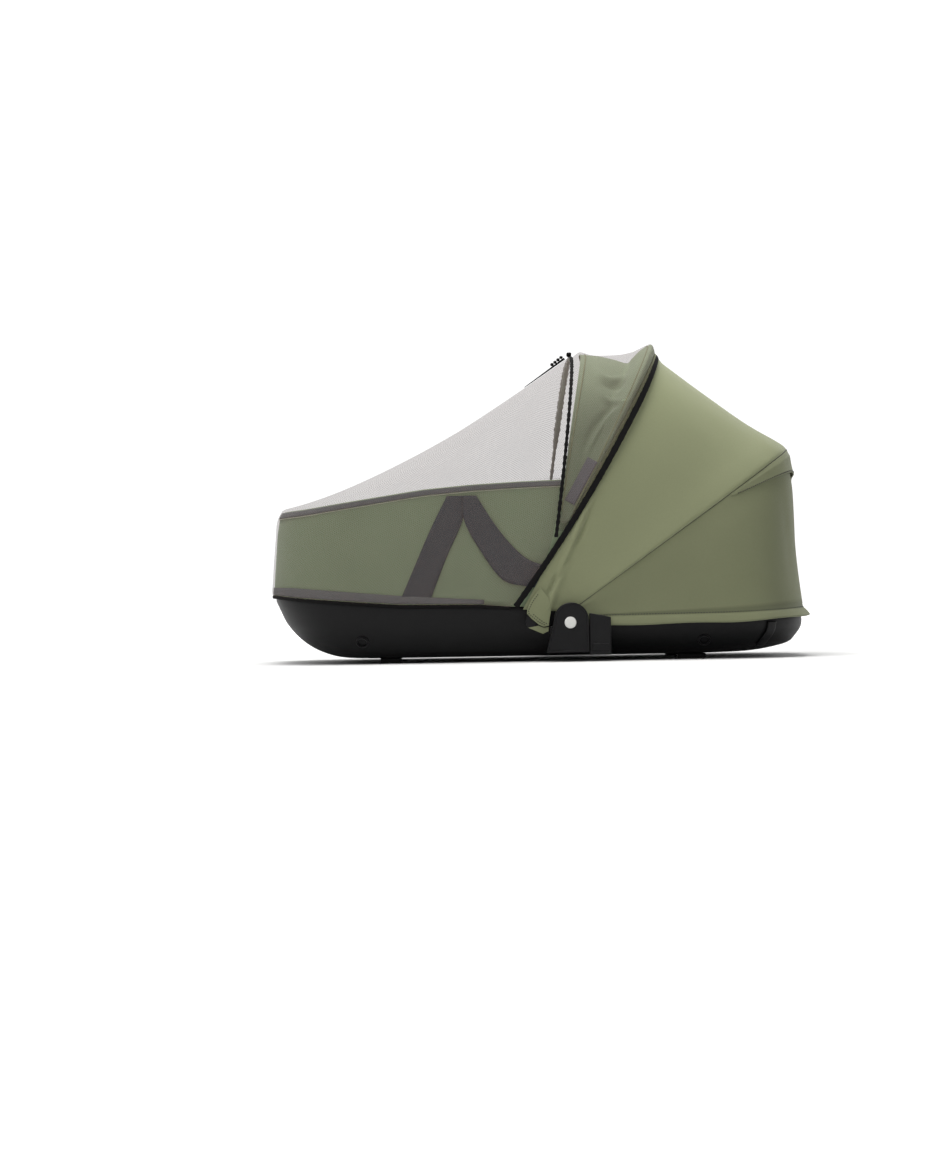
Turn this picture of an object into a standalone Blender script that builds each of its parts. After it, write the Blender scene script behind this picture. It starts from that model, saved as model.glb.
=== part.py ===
"""A stroller mosquito net fitted over a hooded carrycot, in metres, +Z up.

+X points to the head end, -X to the foot end, and -Y is the near side. The origin is on the
ground in the middle of the outer box. Every piece is laid out from the sizes and the short
tables below.
"""

import math
from typing import NamedTuple

import bmesh
import bpy
import numpy as np
from mathutils import Vector
from mathutils.bvhtree import BVHTree

# Clearances and thicknesses
GAP = 0.0003
SEAM_GAP = 0.0004
NET_THICK = 0.0015
VISOR_THICK = 0.0015
HOOD_THICK = 0.0018
WEBBING_THICK = 0.0012
WALL_THICK = 0.010

# Tub wall: its outer face in plan
TUB_HALF_WIDTH = 0.1830
TUB_HEAD_X = 0.3520
TUB_FOOT_X = -0.3850
FOOT_LEAN = 0.075
LEAN_FROM_Z = 0.1136
FOOT_CORNER = 0.110
HEAD_CORNER = 0.130
END_BOW = 0.006

# Net: how far its middle lies outside the tub wall and above the rim
NET_OFF_WALL = 0.0050
NET_OVER_RIM = 0.0047
RIM_SHOULDER = (0.0035, 0.0034)
RIM_ROUNDING = 0.0100
NET_SAG = 0.0230
NET_SAG_SKEW = 0.5
NET_WAVE = 0.0009
FLARE_LENGTH = 0.030

# Bindings: width along the cloth and thickness
SEAM_BINDING = (0.0050, 0.0030)
REAR_BINDING = (0.0100, 0.0030)
HEM_BINDING = (0.0046, 0.0030)
HEM_TUCK = 0.0015
HEM_STOP = 0.003
SEAM_FOOT_DROP = 0.0012

# Hood
HOOD_HALF_WIDTH = 0.194
SKIRT_HALF_WIDTH = 0.1965
REAR_LEAN = 1.30
BOW_RIDGE = 0.0040
BOW_RIDGE_WIDTH = 0.0060
CORNER_Y = 0.1969
CORNER_THICK = 0.0016

# Grid counts
NET_COLUMNS = 50
HOOD_COLUMNS = 30
ARC_STEPS = 7
SIDE_STEPS = 7
END_STEPS = 3


class Knot(NamedTuple):
    """One row of a line that is read by x."""

    x: float
    z: float


# Lower edge of the net along the tub, foot to hood
HEM_LINE = (
    Knot(x=-0.392, z=0.1000),
    Knot(x=-0.350, z=0.0950),
    Knot(x=-0.292, z=0.0902),
    Knot(x=-0.208, z=0.0838),
    Knot(x=-0.096, z=0.0824),
    Knot(x=-0.050, z=0.0790),
    Knot(x=0.360, z=0.0740),
)

# Top of the tub wall, foot to head; under the hood it falls away
RIM_LINE = (
    Knot(x=-0.385, z=0.2160),
    Knot(x=-0.340, z=0.2200),
    Knot(x=-0.242, z=0.2347),
    Knot(x=-0.175, z=0.2448),
    Knot(x=-0.107, z=0.2507),
    Knot(x=-0.040, z=0.2541),
    Knot(x=0.050, z=0.2570),
    Knot(x=0.090, z=0.2480),
    Knot(x=0.180, z=0.2150),
    Knot(x=0.260, z=0.1880),
    Knot(x=0.356, z=0.1800),
)

# Top and bottom edges of the grey band at the foot of the tub wall
LOWER_BAND_TOP = (
    Knot(x=-0.392, z=0.1100),
    Knot(x=-0.360, z=0.1093),
    Knot(x=-0.208, z=0.0958),
    Knot(x=-0.124, z=0.0905),
    Knot(x=-0.090, z=0.0885),
)
LOWER_BAND_HEIGHT = 0.0062
RIM_BAND_HEIGHT = 0.0085


class Arch(NamedTuple):
    """An arch over the carrycot: its foot, its crown, and how square its shoulders are."""

    base_x: float
    base_z: float
    crown_x: float
    crown_z: float
    bulge: float
    half_width: float
    squareness: float


SEAM_ARCH = Arch(0.0125, 0.176, 0.0455, 0.4360, 0.0005, 0.1970, 2.5)
VISOR_ARCH = Arch(0.0162, 0.175, 0.0600, 0.4395, -0.0040, 0.1932, 2.5)
BINDING_ARCH = Arch(-0.0460, 0.078, 0.1695, 0.4335, 0.0115, HOOD_HALF_WIDTH, 3.5)
HOOD_FRONT_ARCH = Arch(-0.0360, 0.074, 0.1665, 0.4385, 0.0, HOOD_HALF_WIDTH, 3.5)
HOOD_SEAM_ARCH = Arch(0.0300, 0.070, 0.3500, 0.2965, 0.0, HOOD_HALF_WIDTH, 5.0)
BOW_LINE = Arch(0.0040, 0.086, 0.1595, 0.4465, -0.0060, HOOD_HALF_WIDTH, 3.5)
PANEL_START_Z = 0.195
SEAM_TOP_Z = 0.330


class WallRow(NamedTuple):
    """One row of the net's wall: its share of the height and how far it stands out."""

    share: float
    out: float


NET_WALL_ROWS = (
    WallRow(share=-0.0065, out=-0.0030),
    WallRow(share=0.050, out=-0.0006),
    WallRow(share=0.130, out=0.0),
    WallRow(share=0.390, out=0.0008),
    WallRow(share=0.660, out=0.0004),
    WallRow(share=0.880, out=0.0),
    WallRow(share=1.000, out=-0.0004),
)
NET_TOP_ROWS = (0.045, 0.11, 0.19, 0.28, 0.38, 0.49, 0.61, 0.74, 0.87, 1.0)


class CrownRow(NamedTuple):
    """One row of a panel between two arches, with its height off the straight line."""

    share: float
    crown: float
    side: float


NET_PANEL_ROWS = (
    CrownRow(share=0.0, crown=0.0, side=0.0),
    CrownRow(share=0.088, crown=0.0072, side=0.0004),
    CrownRow(share=0.19, crown=0.0038, side=0.0004),
    CrownRow(share=0.30, crown=0.0012, side=0.0),
    CrownRow(share=0.57, crown=0.0009, side=0.0),
    CrownRow(share=0.73, crown=0.0040, side=0.0016),
    CrownRow(share=0.80, crown=0.0072, side=0.0026),
    CrownRow(share=0.91, crown=0.0137, side=0.0038),
    CrownRow(share=0.962, crown=0.0156, side=0.0032),
    CrownRow(share=0.988, crown=0.0130, side=0.0018),
    CrownRow(share=1.0, crown=0.0, side=0.0),
)
VISOR_ROWS = (
    CrownRow(share=0.0, crown=0.0, side=0.0),
    CrownRow(share=0.10, crown=-0.0010, side=0.0),
    CrownRow(share=0.26, crown=-0.0030, side=-0.0006),
    CrownRow(share=0.45, crown=-0.0078, side=-0.0012),
    CrownRow(share=0.64, crown=-0.0134, side=-0.0006),
    CrownRow(share=0.74, crown=-0.0040, side=0.0004),
    CrownRow(share=0.83, crown=0.0054, side=0.0012),
    CrownRow(share=0.91, crown=0.0106, side=0.0020),
    CrownRow(share=0.965, crown=0.0124, side=0.0014),
    CrownRow(share=1.0, crown=0.0022, side=0.0),
)
CANOPY_ROWS = (
    CrownRow(share=0.0, crown=0.0, side=0.0),
    CrownRow(share=0.022, crown=-0.0040, side=0.0),
    CrownRow(share=0.050, crown=-0.0070, side=0.0),
    CrownRow(share=0.085, crown=-0.0074, side=0.0),
    CrownRow(share=0.125, crown=-0.0074, side=0.0),
    CrownRow(share=0.18, crown=-0.0074, side=-0.0002),
    CrownRow(share=0.30, crown=-0.0074, side=-0.0006),
    CrownRow(share=0.45, crown=-0.0073, side=-0.0008),
    CrownRow(share=0.60, crown=-0.0070, side=-0.0007),
    CrownRow(share=0.76, crown=-0.0050, side=-0.0004),
    CrownRow(share=0.89, crown=0.0004, side=0.0003),
    CrownRow(share=0.97, crown=0.0026, side=0.0004),
    CrownRow(share=0.996, crown=0.0, side=0.0),
)
REAR_ROWS = (
    CrownRow(share=0.006, crown=0.0, side=0.0),
    CrownRow(share=0.13, crown=0.0004, side=0.0),
    CrownRow(share=0.25, crown=0.0020, side=0.0),
    CrownRow(share=0.42, crown=0.0004, side=-0.0004),
    CrownRow(share=0.62, crown=-0.0020, side=-0.0008),
    CrownRow(share=0.82, crown=-0.0016, side=-0.0006),
    CrownRow(share=1.0, crown=0.0, side=0.0),
)
FLAP_START = 0.262
FLAP_DEPTH = 0.205
FLAP_LIFT = 0.0029
FLAP_CROWN_LIFT = 0.0012
FLAP_SIDE_DEPTH = 0.035
FLAP_CURVE = 0.62
FLAP_TOP_SHARE = 0.016
FLAP_FLARE = 0.0022


class Hem(NamedTuple):
    """A level line of the hood's hem: heights at the side and the end, and its reach."""

    start_x: float
    side_z: float
    end_z: float
    head_x: float
    half_width: float


STITCH_LINE = Hem(0.0300, 0.0675, 0.0735, 0.3768, SKIRT_HALF_WIDTH)
SKIRT_EDGE = Hem(0.0300, 0.0545, 0.0630, 0.3911, 0.2000)


class Level(NamedTuple):
    """A level of the moulded base or of the tub's liner."""

    z: float
    foot_x: float
    head_x: float
    half_width: float


# From the ground face up to below the lip
BASE_LEVELS = (
    Level(z=0.0075, foot_x=-0.2750, head_x=0.2650, half_width=0.1300),
    Level(z=0.0120, foot_x=-0.3067, head_x=0.3200, half_width=0.1460),
    Level(z=0.0196, foot_x=-0.3263, head_x=0.3500, half_width=0.1580),
    Level(z=0.0300, foot_x=-0.3434, head_x=0.3615, half_width=0.1670),
    Level(z=0.0426, foot_x=-0.3575, head_x=0.3700, half_width=0.1735),
    Level(z=0.0566, foot_x=-0.3688, head_x=0.3708, half_width=0.1775),
    Level(z=0.0660, foot_x=-0.3742, head_x=0.3640, half_width=0.1795),
)
LIP = Level(z=-0.0010, foot_x=-0.3850, head_x=0.3580, half_width=0.1812)
LIP_SIDE_DROP = 0.0060
LIP_WALL = 0.0050
LINER_LEVELS = (
    Level(z=0.0260, foot_x=-0.3050, head_x=0.3200, half_width=0.1400),
    Level(z=0.0360, foot_x=-0.3370, head_x=0.3400, half_width=0.1550),
    Level(z=0.0500, foot_x=-0.3570, head_x=0.3500, half_width=0.1640),
    Level(z=0.0640, foot_x=-0.3680, head_x=0.3480, half_width=0.1710),
)
INNER_LEVELS = (
    Level(z=0.1400, foot_x=-0.3745, head_x=0.3420, half_width=0.1730),
    Level(z=0.1000, foot_x=-0.3740, head_x=0.3410, half_width=0.1700),
    Level(z=0.0680, foot_x=-0.3570, head_x=0.3370, half_width=0.1610),
    Level(z=0.0530, foot_x=-0.3430, head_x=0.3370, half_width=0.1530),
    Level(z=0.0400, foot_x=-0.3200, head_x=0.3250, half_width=0.1420),
    Level(z=0.0325, foot_x=-0.2960, head_x=0.3100, half_width=0.1310),
    Level(z=0.0315, foot_x=-0.2700, head_x=0.2850, half_width=0.1060),
)


class Spot(NamedTuple):
    """A corner of an outline in the side view."""

    x: float
    z: float


STRAP_OUTLINE = (
    Spot(x=-0.1405, z=0.2324),
    Spot(x=-0.1657, z=0.1864),
    Spot(x=-0.1876, z=0.1404),
    Spot(x=-0.2065, z=0.0985),
    Spot(x=-0.1665, z=0.0950),
    Spot(x=-0.1527, z=0.1230),
    Spot(x=-0.1352, z=0.1606),
    Spot(x=-0.1184, z=0.1919),
    Spot(x=-0.1028, z=0.1671),
    Spot(x=-0.0822, z=0.1387),
    Spot(x=-0.0620, z=0.1177),
    Spot(x=-0.0447, z=0.1099),
    Spot(x=-0.0308, z=0.1055),
    Spot(x=0.0050, z=0.0990),
    Spot(x=0.0050, z=0.1350),
    Spot(x=-0.0335, z=0.1519),
    Spot(x=-0.0541, z=0.1705),
    Spot(x=-0.0746, z=0.2018),
    Spot(x=-0.0949, z=0.2353),
)
CORNER_OUTLINE = (
    Spot(x=-0.0100, z=0.0880),
    Spot(x=-0.0326, z=0.0725),
    Spot(x=-0.0285, z=0.0655),
    Spot(x=-0.0255, z=0.0475),
    Spot(x=-0.0098, z=0.0395),
    Spot(x=-0.0052, z=0.0450),
    Spot(x=-0.0052, z=0.0800),
)
CLIP_LINE = (
    Spot(x=0.3110, z=0.0520),
    Spot(x=0.3100, z=0.0400),
    Spot(x=0.3050, z=0.0290),
    Spot(x=0.3010, z=0.0190),
)
CLIP_SIZE = (0.0150, 0.0032)
CLIP_CLEARANCE = 0.0015
HINGE_LEFT_X = -0.0040
HINGE_RIGHT_X = 0.0560
HINGE_TOP_Z = 0.0830
HINGE_FOOT_Z = 0.0130
HINGE_INNER_Y = 0.2030
HINGE_OUTER_Y = 0.2130
CAP_RADIUS = 0.0082
CAP_CENTRE = Spot(x=0.0298, z=0.0550)
CAP_THICK = 0.0016
BLOCK_BOX = (0.0563, 0.0868, 0.0090, 0.0620)
BLOCK_OUTER_Y = 0.2090
BRACKET_BOX = (0.0020, 0.0820, 0.0380, 0.0500)
BRACKET_INNER_Y = 0.1763

FOOT_PLACES = ((-0.2210, 0.030), (0.2060, 0.040))
FOOT_Y = 0.1120
FOOT_DEPTH = 0.030
FOOT_HEIGHT = 0.0072
RING_PLACES = ((-0.2619, 0.0318), (0.2208, 0.0270))
RING_RADIUS = 0.0088
RING_HOLE = 0.0068
RING_THICK = 0.0024
LABEL_START = Spot(x=0.0320, z=0.2230)
LABEL_END = Spot(x=0.0660, z=0.2830)
LABEL_WIDTH = 0.0155
LABEL_THICK = 0.0005
LABEL_CLEARANCE = 0.0006

KNOT_SET_BACK = 0.0012
KNOT_SIZE = (0.0080, 0.0110, 0.0044)
PULL_LENGTH = 0.036
PULL_BEADS = 5
PULL_RADIUS = 0.0006
BEAD_RADIUS = 0.0016
RIDGE_UP = (-0.60, 0.0, 0.80)
TRIM_CLEARANCE = 0.0002
PULL_START = 0.004
TAPE_START = 0.003
TAPE_TIP = 0.28
TAPE_LENGTH = 0.074
TAPE_WIDTH = 0.0090
TAPE_THICK = 0.0034


def clear_scene() -> None:
    """Removes every object that the file starts with."""
    for old in list(bpy.data.objects):
        bpy.data.objects.remove(old, do_unlink=True)


def material(name: str, colour: tuple, roughness: float, metallic: float = 0.0):
    """A Principled material of one colour."""
    made = bpy.data.materials.new(name)
    made.use_nodes = True
    shader = made.node_tree.nodes["Principled BSDF"]
    shader.inputs["Base Color"].default_value = (*colour, 1.0)
    shader.inputs["Roughness"].default_value = roughness
    shader.inputs["Metallic"].default_value = metallic
    return made


def place(name: str, mesh, finish, parent):
    """Makes the object of a mesh, with its material, under its parent empty."""
    piece = bpy.data.objects.new(name, mesh)
    mesh.materials.append(finish)
    bpy.context.scene.collection.objects.link(piece)
    piece.parent = parent
    return piece


def mesh_of(name: str, points, faces):
    """A mesh with its normals facing out and smooth shading up to 40 degrees."""
    mesh = bpy.data.meshes.new(name)
    mesh.from_pydata([tuple(map(float, p)) for p in points], [], faces)
    shape = bmesh.new()
    shape.from_mesh(mesh)
    bmesh.ops.recalc_face_normals(shape, faces=shape.faces)
    shape.to_mesh(mesh)
    shape.free()
    mesh.shade_smooth()
    mesh.set_sharp_from_angle(angle=math.radians(40))
    return mesh


def line_z(line: tuple, x):
    """Height of a line at x."""
    return np.interp(x, [k.x for k in line], [k.z for k in line])


def resample(points, shares):
    """Points along a polyline at the given shares of its length."""
    points = np.asarray(points, float)
    steps = np.linalg.norm(np.diff(points, axis=0), axis=1)
    along = np.concatenate([[0.0], np.cumsum(steps)])
    at = np.asarray(shares) * along[-1]
    return np.stack([np.interp(at, along, points[:, k]) for k in range(3)], axis=1)


def even(count: int):
    """Shares from 0 to 1 in equal steps."""
    return np.linspace(0.0, 1.0, count + 1)


def arch_at(arch: Arch, height: float, side: float, shift: float = 0.0):
    """The point of an arch at a height, on the near (-1) or far (+1) side."""
    share = (height - arch.base_z) / (arch.crown_z - arch.base_z)
    share = min(max(share, 0.0), 1.0)
    x = arch.base_x + (arch.crown_x - arch.base_x) * share
    x += 4 * arch.bulge * share * (1 - share)
    spread = (1 - share**arch.squareness) ** (1 / arch.squareness)
    return np.array([x + shift, side * arch.half_width * spread, height])


def arch_line(arch: Arch, start_z: float, shift: float = 0.0, grow: float = 0.0):
    """The arch as a fine polyline from the near side over the crown to the far side."""
    wide = arch._replace(half_width=arch.half_width + grow, crown_z=arch.crown_z + grow)
    turns = np.linspace(-math.pi / 2, math.pi / 2, 241)
    points = []
    for turn in turns:
        share = max(math.cos(turn), 0.0) ** (2 / wide.squareness)
        height = wide.base_z + (wide.crown_z - wide.base_z) * share
        if height >= start_z:
            points.append(arch_at(wide, height, math.copysign(1.0, turn), shift))
    ends = [arch_at(wide, start_z, side, shift) for side in (-1.0, 1.0)]
    return np.array([ends[0], *points, ends[1]])


def u_line(start_x: float, foot_x: float, half_width: float, radius: float):
    """A U in plan: along the near side, round the foot end and back on the far side."""
    points = [(start_x, -half_width)]
    for side in (-1, 1):
        arc = []
        for step in range(19):
            turn = math.radians(step * 5.0)
            x = foot_x + radius * (1 - math.sin(turn))
            y = side * (half_width - radius + radius * math.cos(turn))
            arc.append(bowed_end(x, y, foot_x, half_width, -1))
        end = [bowed_end(foot_x, side * (half_width - radius) * k / 5, foot_x, half_width, -1)
               for k in range(4, 0, -1)]
        points += arc + end if side < 0 else [(foot_x, 0.0)] + end[::-1] + arc[::-1]
    points.append((start_x, half_width))
    flat = np.zeros((len(points), 3))
    flat[:, :2] = points
    return flat


def bowed_end(x: float, y: float, end_x: float, half_width: float, end: int):
    """A point near an end of the plan, which is bowed out in its middle."""
    near_end = max(1.0 - abs(x - end_x) / FOOT_CORNER, 0.0)
    return (x - end * END_BOW * (y / half_width) ** 2 * near_end, y)


def plan_ring(level: Level, z_of=None):
    """A closed ring round the carrycot at one level."""
    foot_r = max(FOOT_CORNER - (TUB_HALF_WIDTH - level.half_width), 0.03)
    head_r = max(HEAD_CORNER - (TUB_HALF_WIDTH - level.half_width), 0.03)
    ring = []
    for end, side in ((1, -1), (1, 1), (-1, 1), (-1, -1)):
        radius = head_r if end > 0 else foot_r
        end_x = level.head_x if end > 0 else level.foot_x
        arc = []
        for step in range(ARC_STEPS + 1):
            turn = math.radians(90.0 * step / ARC_STEPS)
            x = end_x - end * radius * (1 - math.sin(turn))
            y = side * (level.half_width - radius + radius * math.cos(turn))
            arc.append((x, y))
        flat = side * (level.half_width - radius)
        straight = [(end_x, flat * (1 - k / END_STEPS)) for k in range(1, END_STEPS)]
        half = arc + straight if end * side < 0 else straight[::-1] + arc[::-1]
        if end * side < 0:
            half.append((end_x, 0.0))
        ring += [bowed_end(x, y, end_x, level.half_width, end) for x, y in half]
        if end * side > 0:
            other = level.foot_x + foot_r if end > 0 else level.head_x - head_r
            start = ring[-1]
            for k in range(1, SIDE_STEPS):
                ring.append((start[0] + (other - start[0]) * k / SIDE_STEPS, start[1]))
    return np.array([(x, y, float(z_of(x)) if z_of else level.z) for x, y in ring])


def ring_body(name: str, rings: list, finish, parent, loop: bool = False):
    """A closed body through rings of equal count; a loop joins the last to the first."""
    count = len(rings[0])
    points = np.concatenate(rings)
    faces = []
    pairs = len(rings) if loop else len(rings) - 1
    for row in range(pairs):
        low, high = row * count, ((row + 1) % len(rings)) * count
        for k in range(count):
            after = (k + 1) % count
            faces.append((low + k, low + after, high + after, high + k))
    if not loop:
        faces.append(tuple(range(count)))
        last = (len(rings) - 1) * count
        faces.append(tuple(range(last, last + count)))
    return place(name, mesh_of(name, points, faces), finish, parent)


def normals_of(grid):
    """Unit normals of a grid of points, from its neighbours."""
    down = np.gradient(grid, axis=0)
    along = np.gradient(grid, axis=1)
    normal = np.cross(along, down)
    return normal / np.maximum(np.linalg.norm(normal, axis=2, keepdims=True), 1e-9)


def outward(grid):
    """Normals of a grid that is arched over the carrycot, pointing away from its inside."""
    normal = normals_of(grid)
    middle = np.array([0.0, 0.0, 0.12])
    away = ((grid - middle) * normal).sum(axis=2)
    return normal if np.median(away) > 0 else -normal


def sheet(name: str, grid, thick: float, finish, parent):
    """A cloth of even thickness about a grid of points."""
    rows, columns = grid.shape[:2]
    faces = []
    for row in range(rows - 1):
        for column in range(columns - 1):
            first = row * columns + column
            faces.append((first, first + 1, first + columns + 1, first + columns))
    piece = place(name, mesh_of(name, grid.reshape(-1, 3), faces), finish, parent)
    cloth = piece.modifiers.new("Thickness", "SOLIDIFY")
    cloth.thickness = thick
    cloth.offset = 0.0
    cloth.use_even_offset = True
    cloth.use_rim = True
    return piece


def sweep(name: str, path, normal, size: tuple, sides: int, finish, parent, scale=None):
    """A band of elliptical section along a path: its width lies across the normal."""
    path, normal = np.asarray(path, float), np.asarray(normal, float)
    tangent = np.gradient(path, axis=0)
    tangent /= np.linalg.norm(tangent, axis=1, keepdims=True)
    across = np.cross(normal, tangent)
    across /= np.linalg.norm(across, axis=1, keepdims=True)
    up = np.cross(tangent, across)
    scale = np.ones(len(path)) if scale is None else scale
    rings = []
    for k in range(len(path)):
        turns = [2 * math.pi * (i + 0.5) / sides for i in range(sides)]
        rings.append(
            [
                path[k]
                + scale[k] * size[0] / 2 * math.cos(t) * across[k]
                + scale[k] * size[1] / 2 * math.sin(t) * up[k]
                for t in turns
            ]
        )
    return ring_body(name, [np.array(r) for r in rings], finish, parent)


def prism(name: str, outline, near_y: float, far_y: float, finish, parent, side: float):
    """A plate of an outline in the side view, between two depths, on one side."""
    rings = []
    for depth in (near_y, far_y):
        rings.append(np.array([(spot[0], side * depth, spot[1]) for spot in outline]))
    return ring_body(name, rings, finish, parent)


def box_outline(low_x: float, high_x: float, low_z: float, high_z: float):
    """The outline of a box in the side view."""
    return ((low_x, low_z), (high_x, low_z), (high_x, high_z), (low_x, high_z))


def disc(name: str, centre: Spot, radius: float, depths: tuple, finish, parent, side: float):
    """A disc that faces sideways."""
    turns = [2 * math.pi * k / 20 for k in range(20)]
    outline = [(centre.x + radius * math.cos(t), centre.z + radius * math.sin(t)) for t in turns]
    return prism(name, outline, depths[0], depths[1], finish, parent, side)


def smooth(value):
    """A soft step from 0 to 1."""
    value = np.clip(value, 0.0, 1.0)
    return value * value * (3 - 2 * value)


def crown_weights(count: int, start: float = 0.10, end: float = 0.38):
    """How near each of the evenly spaced points of an arch is to its crown, from 0 to 1."""
    shares = np.linspace(0.0, 1.0, count)
    return smooth((np.minimum(shares, 1 - shares) - start) / (end - start))


def across_panel(first, last, rows: tuple):
    """A grid from one arch to another, raised or sunk by the rows of a table."""
    weight = crown_weights(len(first))
    taper = crown_weights(len(first), 0.0, 0.12)
    grid = []
    for row in rows:
        line = first + (last - first) * row.share
        out = line * np.array([0.0, 1.0, 1.0]) - np.array([0.0, 0.0, 0.24])
        out[:, 2] = np.maximum(out[:, 2], 0.0)
        out /= np.linalg.norm(out, axis=1, keepdims=True)
        lift = (row.side + (row.crown - row.side) * weight) * taper
        grid.append(line + out * lift[:, None])
    return np.array(grid)


def beside(line, normal, distance: float):
    """A line moved sideways in its cloth, towards the foot end where the distance is over 0."""
    tangent = np.gradient(line, axis=0)
    tangent /= np.linalg.norm(tangent, axis=1, keepdims=True)
    across = np.cross(normal, tangent)
    across /= np.linalg.norm(across, axis=1, keepdims=True)
    return line - across * np.sign(across[:, :1]) * distance


def tree_of(piece):
    """A search tree of a finished piece."""
    bpy.context.view_layer.update()
    return BVHTree.FromObject(piece, bpy.context.evaluated_depsgraph_get())


def seated(line, normals, tree, clearance: float):
    """A line pushed out along its normals until its band clears a piece."""
    push = np.zeros(len(line))
    for offset in (-0.9, -0.45, 0.0, 0.45, 0.9):
        edge = beside(line, normals, offset * REAR_BINDING[0] / 2)
        for k, (point, normal) in enumerate(zip(edge, normals)):
            start = Vector(point + normal * 0.02)
            hit, _, _, reach = tree.ray_cast(start, Vector(-normal), 0.03)
            if hit is not None:
                push[k] = max(push[k], 0.02 - reach + clearance * math.sqrt(1 - offset**2 * 0.8))
    wide = np.array([push[max(k - 6, 0) : k + 7].max() for k in range(len(push))])
    kernel = np.hanning(15) / np.hanning(15).sum()
    wide = np.convolve(np.pad(wide, 7, mode="edge"), kernel, mode="valid")
    return line + normals * wide[:, None]


def hit_on(tree, start, aim):
    """Where a ray meets a piece, and the piece's normal there."""
    point, normal, _, _ = tree.ray_cast(Vector(start), Vector(aim).normalized())
    normal = np.array(normal)
    return np.array(point), normal * -np.sign(np.dot(normal, np.array(aim)))


def net_edge_x(height: float) -> float:
    """Where the front panel of the net ends, just ahead of the bindings."""
    room = REAR_BINDING[0] / 2 + SEAM_GAP
    rear = arch_at(BINDING_ARCH, height, -1.0)[0] - room * 1.2
    share = (height - SEAM_ARCH.base_z) / (SEAM_ARCH.crown_z - SEAM_ARCH.base_z)
    seam = SEAM_ARCH.base_x + (SEAM_ARCH.crown_x - SEAM_ARCH.base_x) * share
    return min(rear, seam - SEAM_BINDING[0] / 2 - SEAM_GAP)


def net_edge_y(height: float) -> float:
    """Half the width of the net where it meets its bindings."""
    if height < SEAM_ARCH.base_z:
        return SEAM_ARCH.half_width
    return abs(arch_at(SEAM_ARCH, height, -1.0)[1])


def wall_x(height: float) -> float:
    """The foot end of the tub wall at a height."""
    return TUB_FOOT_X + FOOT_LEAN * (height - LEAN_FROM_Z)


def net_front_grid(arch):
    """The large panel: up the walls from the hem, over the rim and up to the seam arch."""
    shares = even(NET_COLUMNS)
    shares = shares - 0.25 * np.sin(2 * math.pi * shares) / (2 * math.pi)
    rows = []
    for row in NET_WALL_ROWS:
        level = 0.15
        for _ in range(4):
            x = net_edge_x(level)
            level = line_z(HEM_LINE, x) + row.share * (line_z(RIM_LINE, x) - line_z(HEM_LINE, x))
        rows.append(wall_row(row, shares, net_edge_x(level), net_edge_y(level), 0.0))
    shoulder = WallRow(share=1.0, out=-RIM_SHOULDER[0])
    crest = WallRow(share=1.0, out=-RIM_ROUNDING)
    for row, lift in ((shoulder, RIM_SHOULDER[1]), (crest, NET_OVER_RIM)):
        level = line_z(RIM_LINE, 0.018) + lift
        rows.append(wall_row(row, shares, net_edge_x(level), net_edge_y(level), lift))
    arch = resample(arch, shares)
    rim_row = rows[-1]
    middle = np.sin(math.pi * shares) ** 0.7
    for share in NET_TOP_ROWS:
        row = rim_row + (arch - rim_row) * share
        sag = NET_SAG * middle * 4 * share * (1 - share) * (1 + NET_SAG_SKEW * (0.5 - share))
        wave = NET_WAVE * np.sin(26 * shares + 9 * share) * middle * math.sin(math.pi * share)
        row[:, 2] += wave - sag
        rows.append(row)
    return np.array(rows)


def wall_row(row: WallRow, shares, edge_x: float, edge_y: float, lift: float):
    """One row of the net's wall, flaring out to its bindings near both ends."""
    height = line_z(HEM_LINE, -0.2) + row.share * 0.13
    foot = wall_x(height) - NET_OFF_WALL - row.out
    half = TUB_HALF_WIDTH + NET_OFF_WALL + row.out
    radius = FOOT_CORNER + NET_OFF_WALL + row.out
    line = resample(u_line(edge_x, foot, half, radius), shares)
    hem, rim = line_z(HEM_LINE, line[:, 0]), line_z(RIM_LINE, line[:, 0])
    line[:, 2] = hem + row.share * (rim - hem)
    rounding = lift * (1 - 0.8 * np.exp(-(edge_x - line[:, 0]) / FLARE_LENGTH))
    line[:, 2] += rounding
    near_edge = np.exp(-(((edge_x - line[:, 0]) / FLARE_LENGTH) ** 1.5))
    grow = near_edge * (edge_y - half)
    line[:, 1] += np.sign(line[:, 1]) * grow * (np.abs(line[:, 1]) > half * 0.9)
    return line


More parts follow.
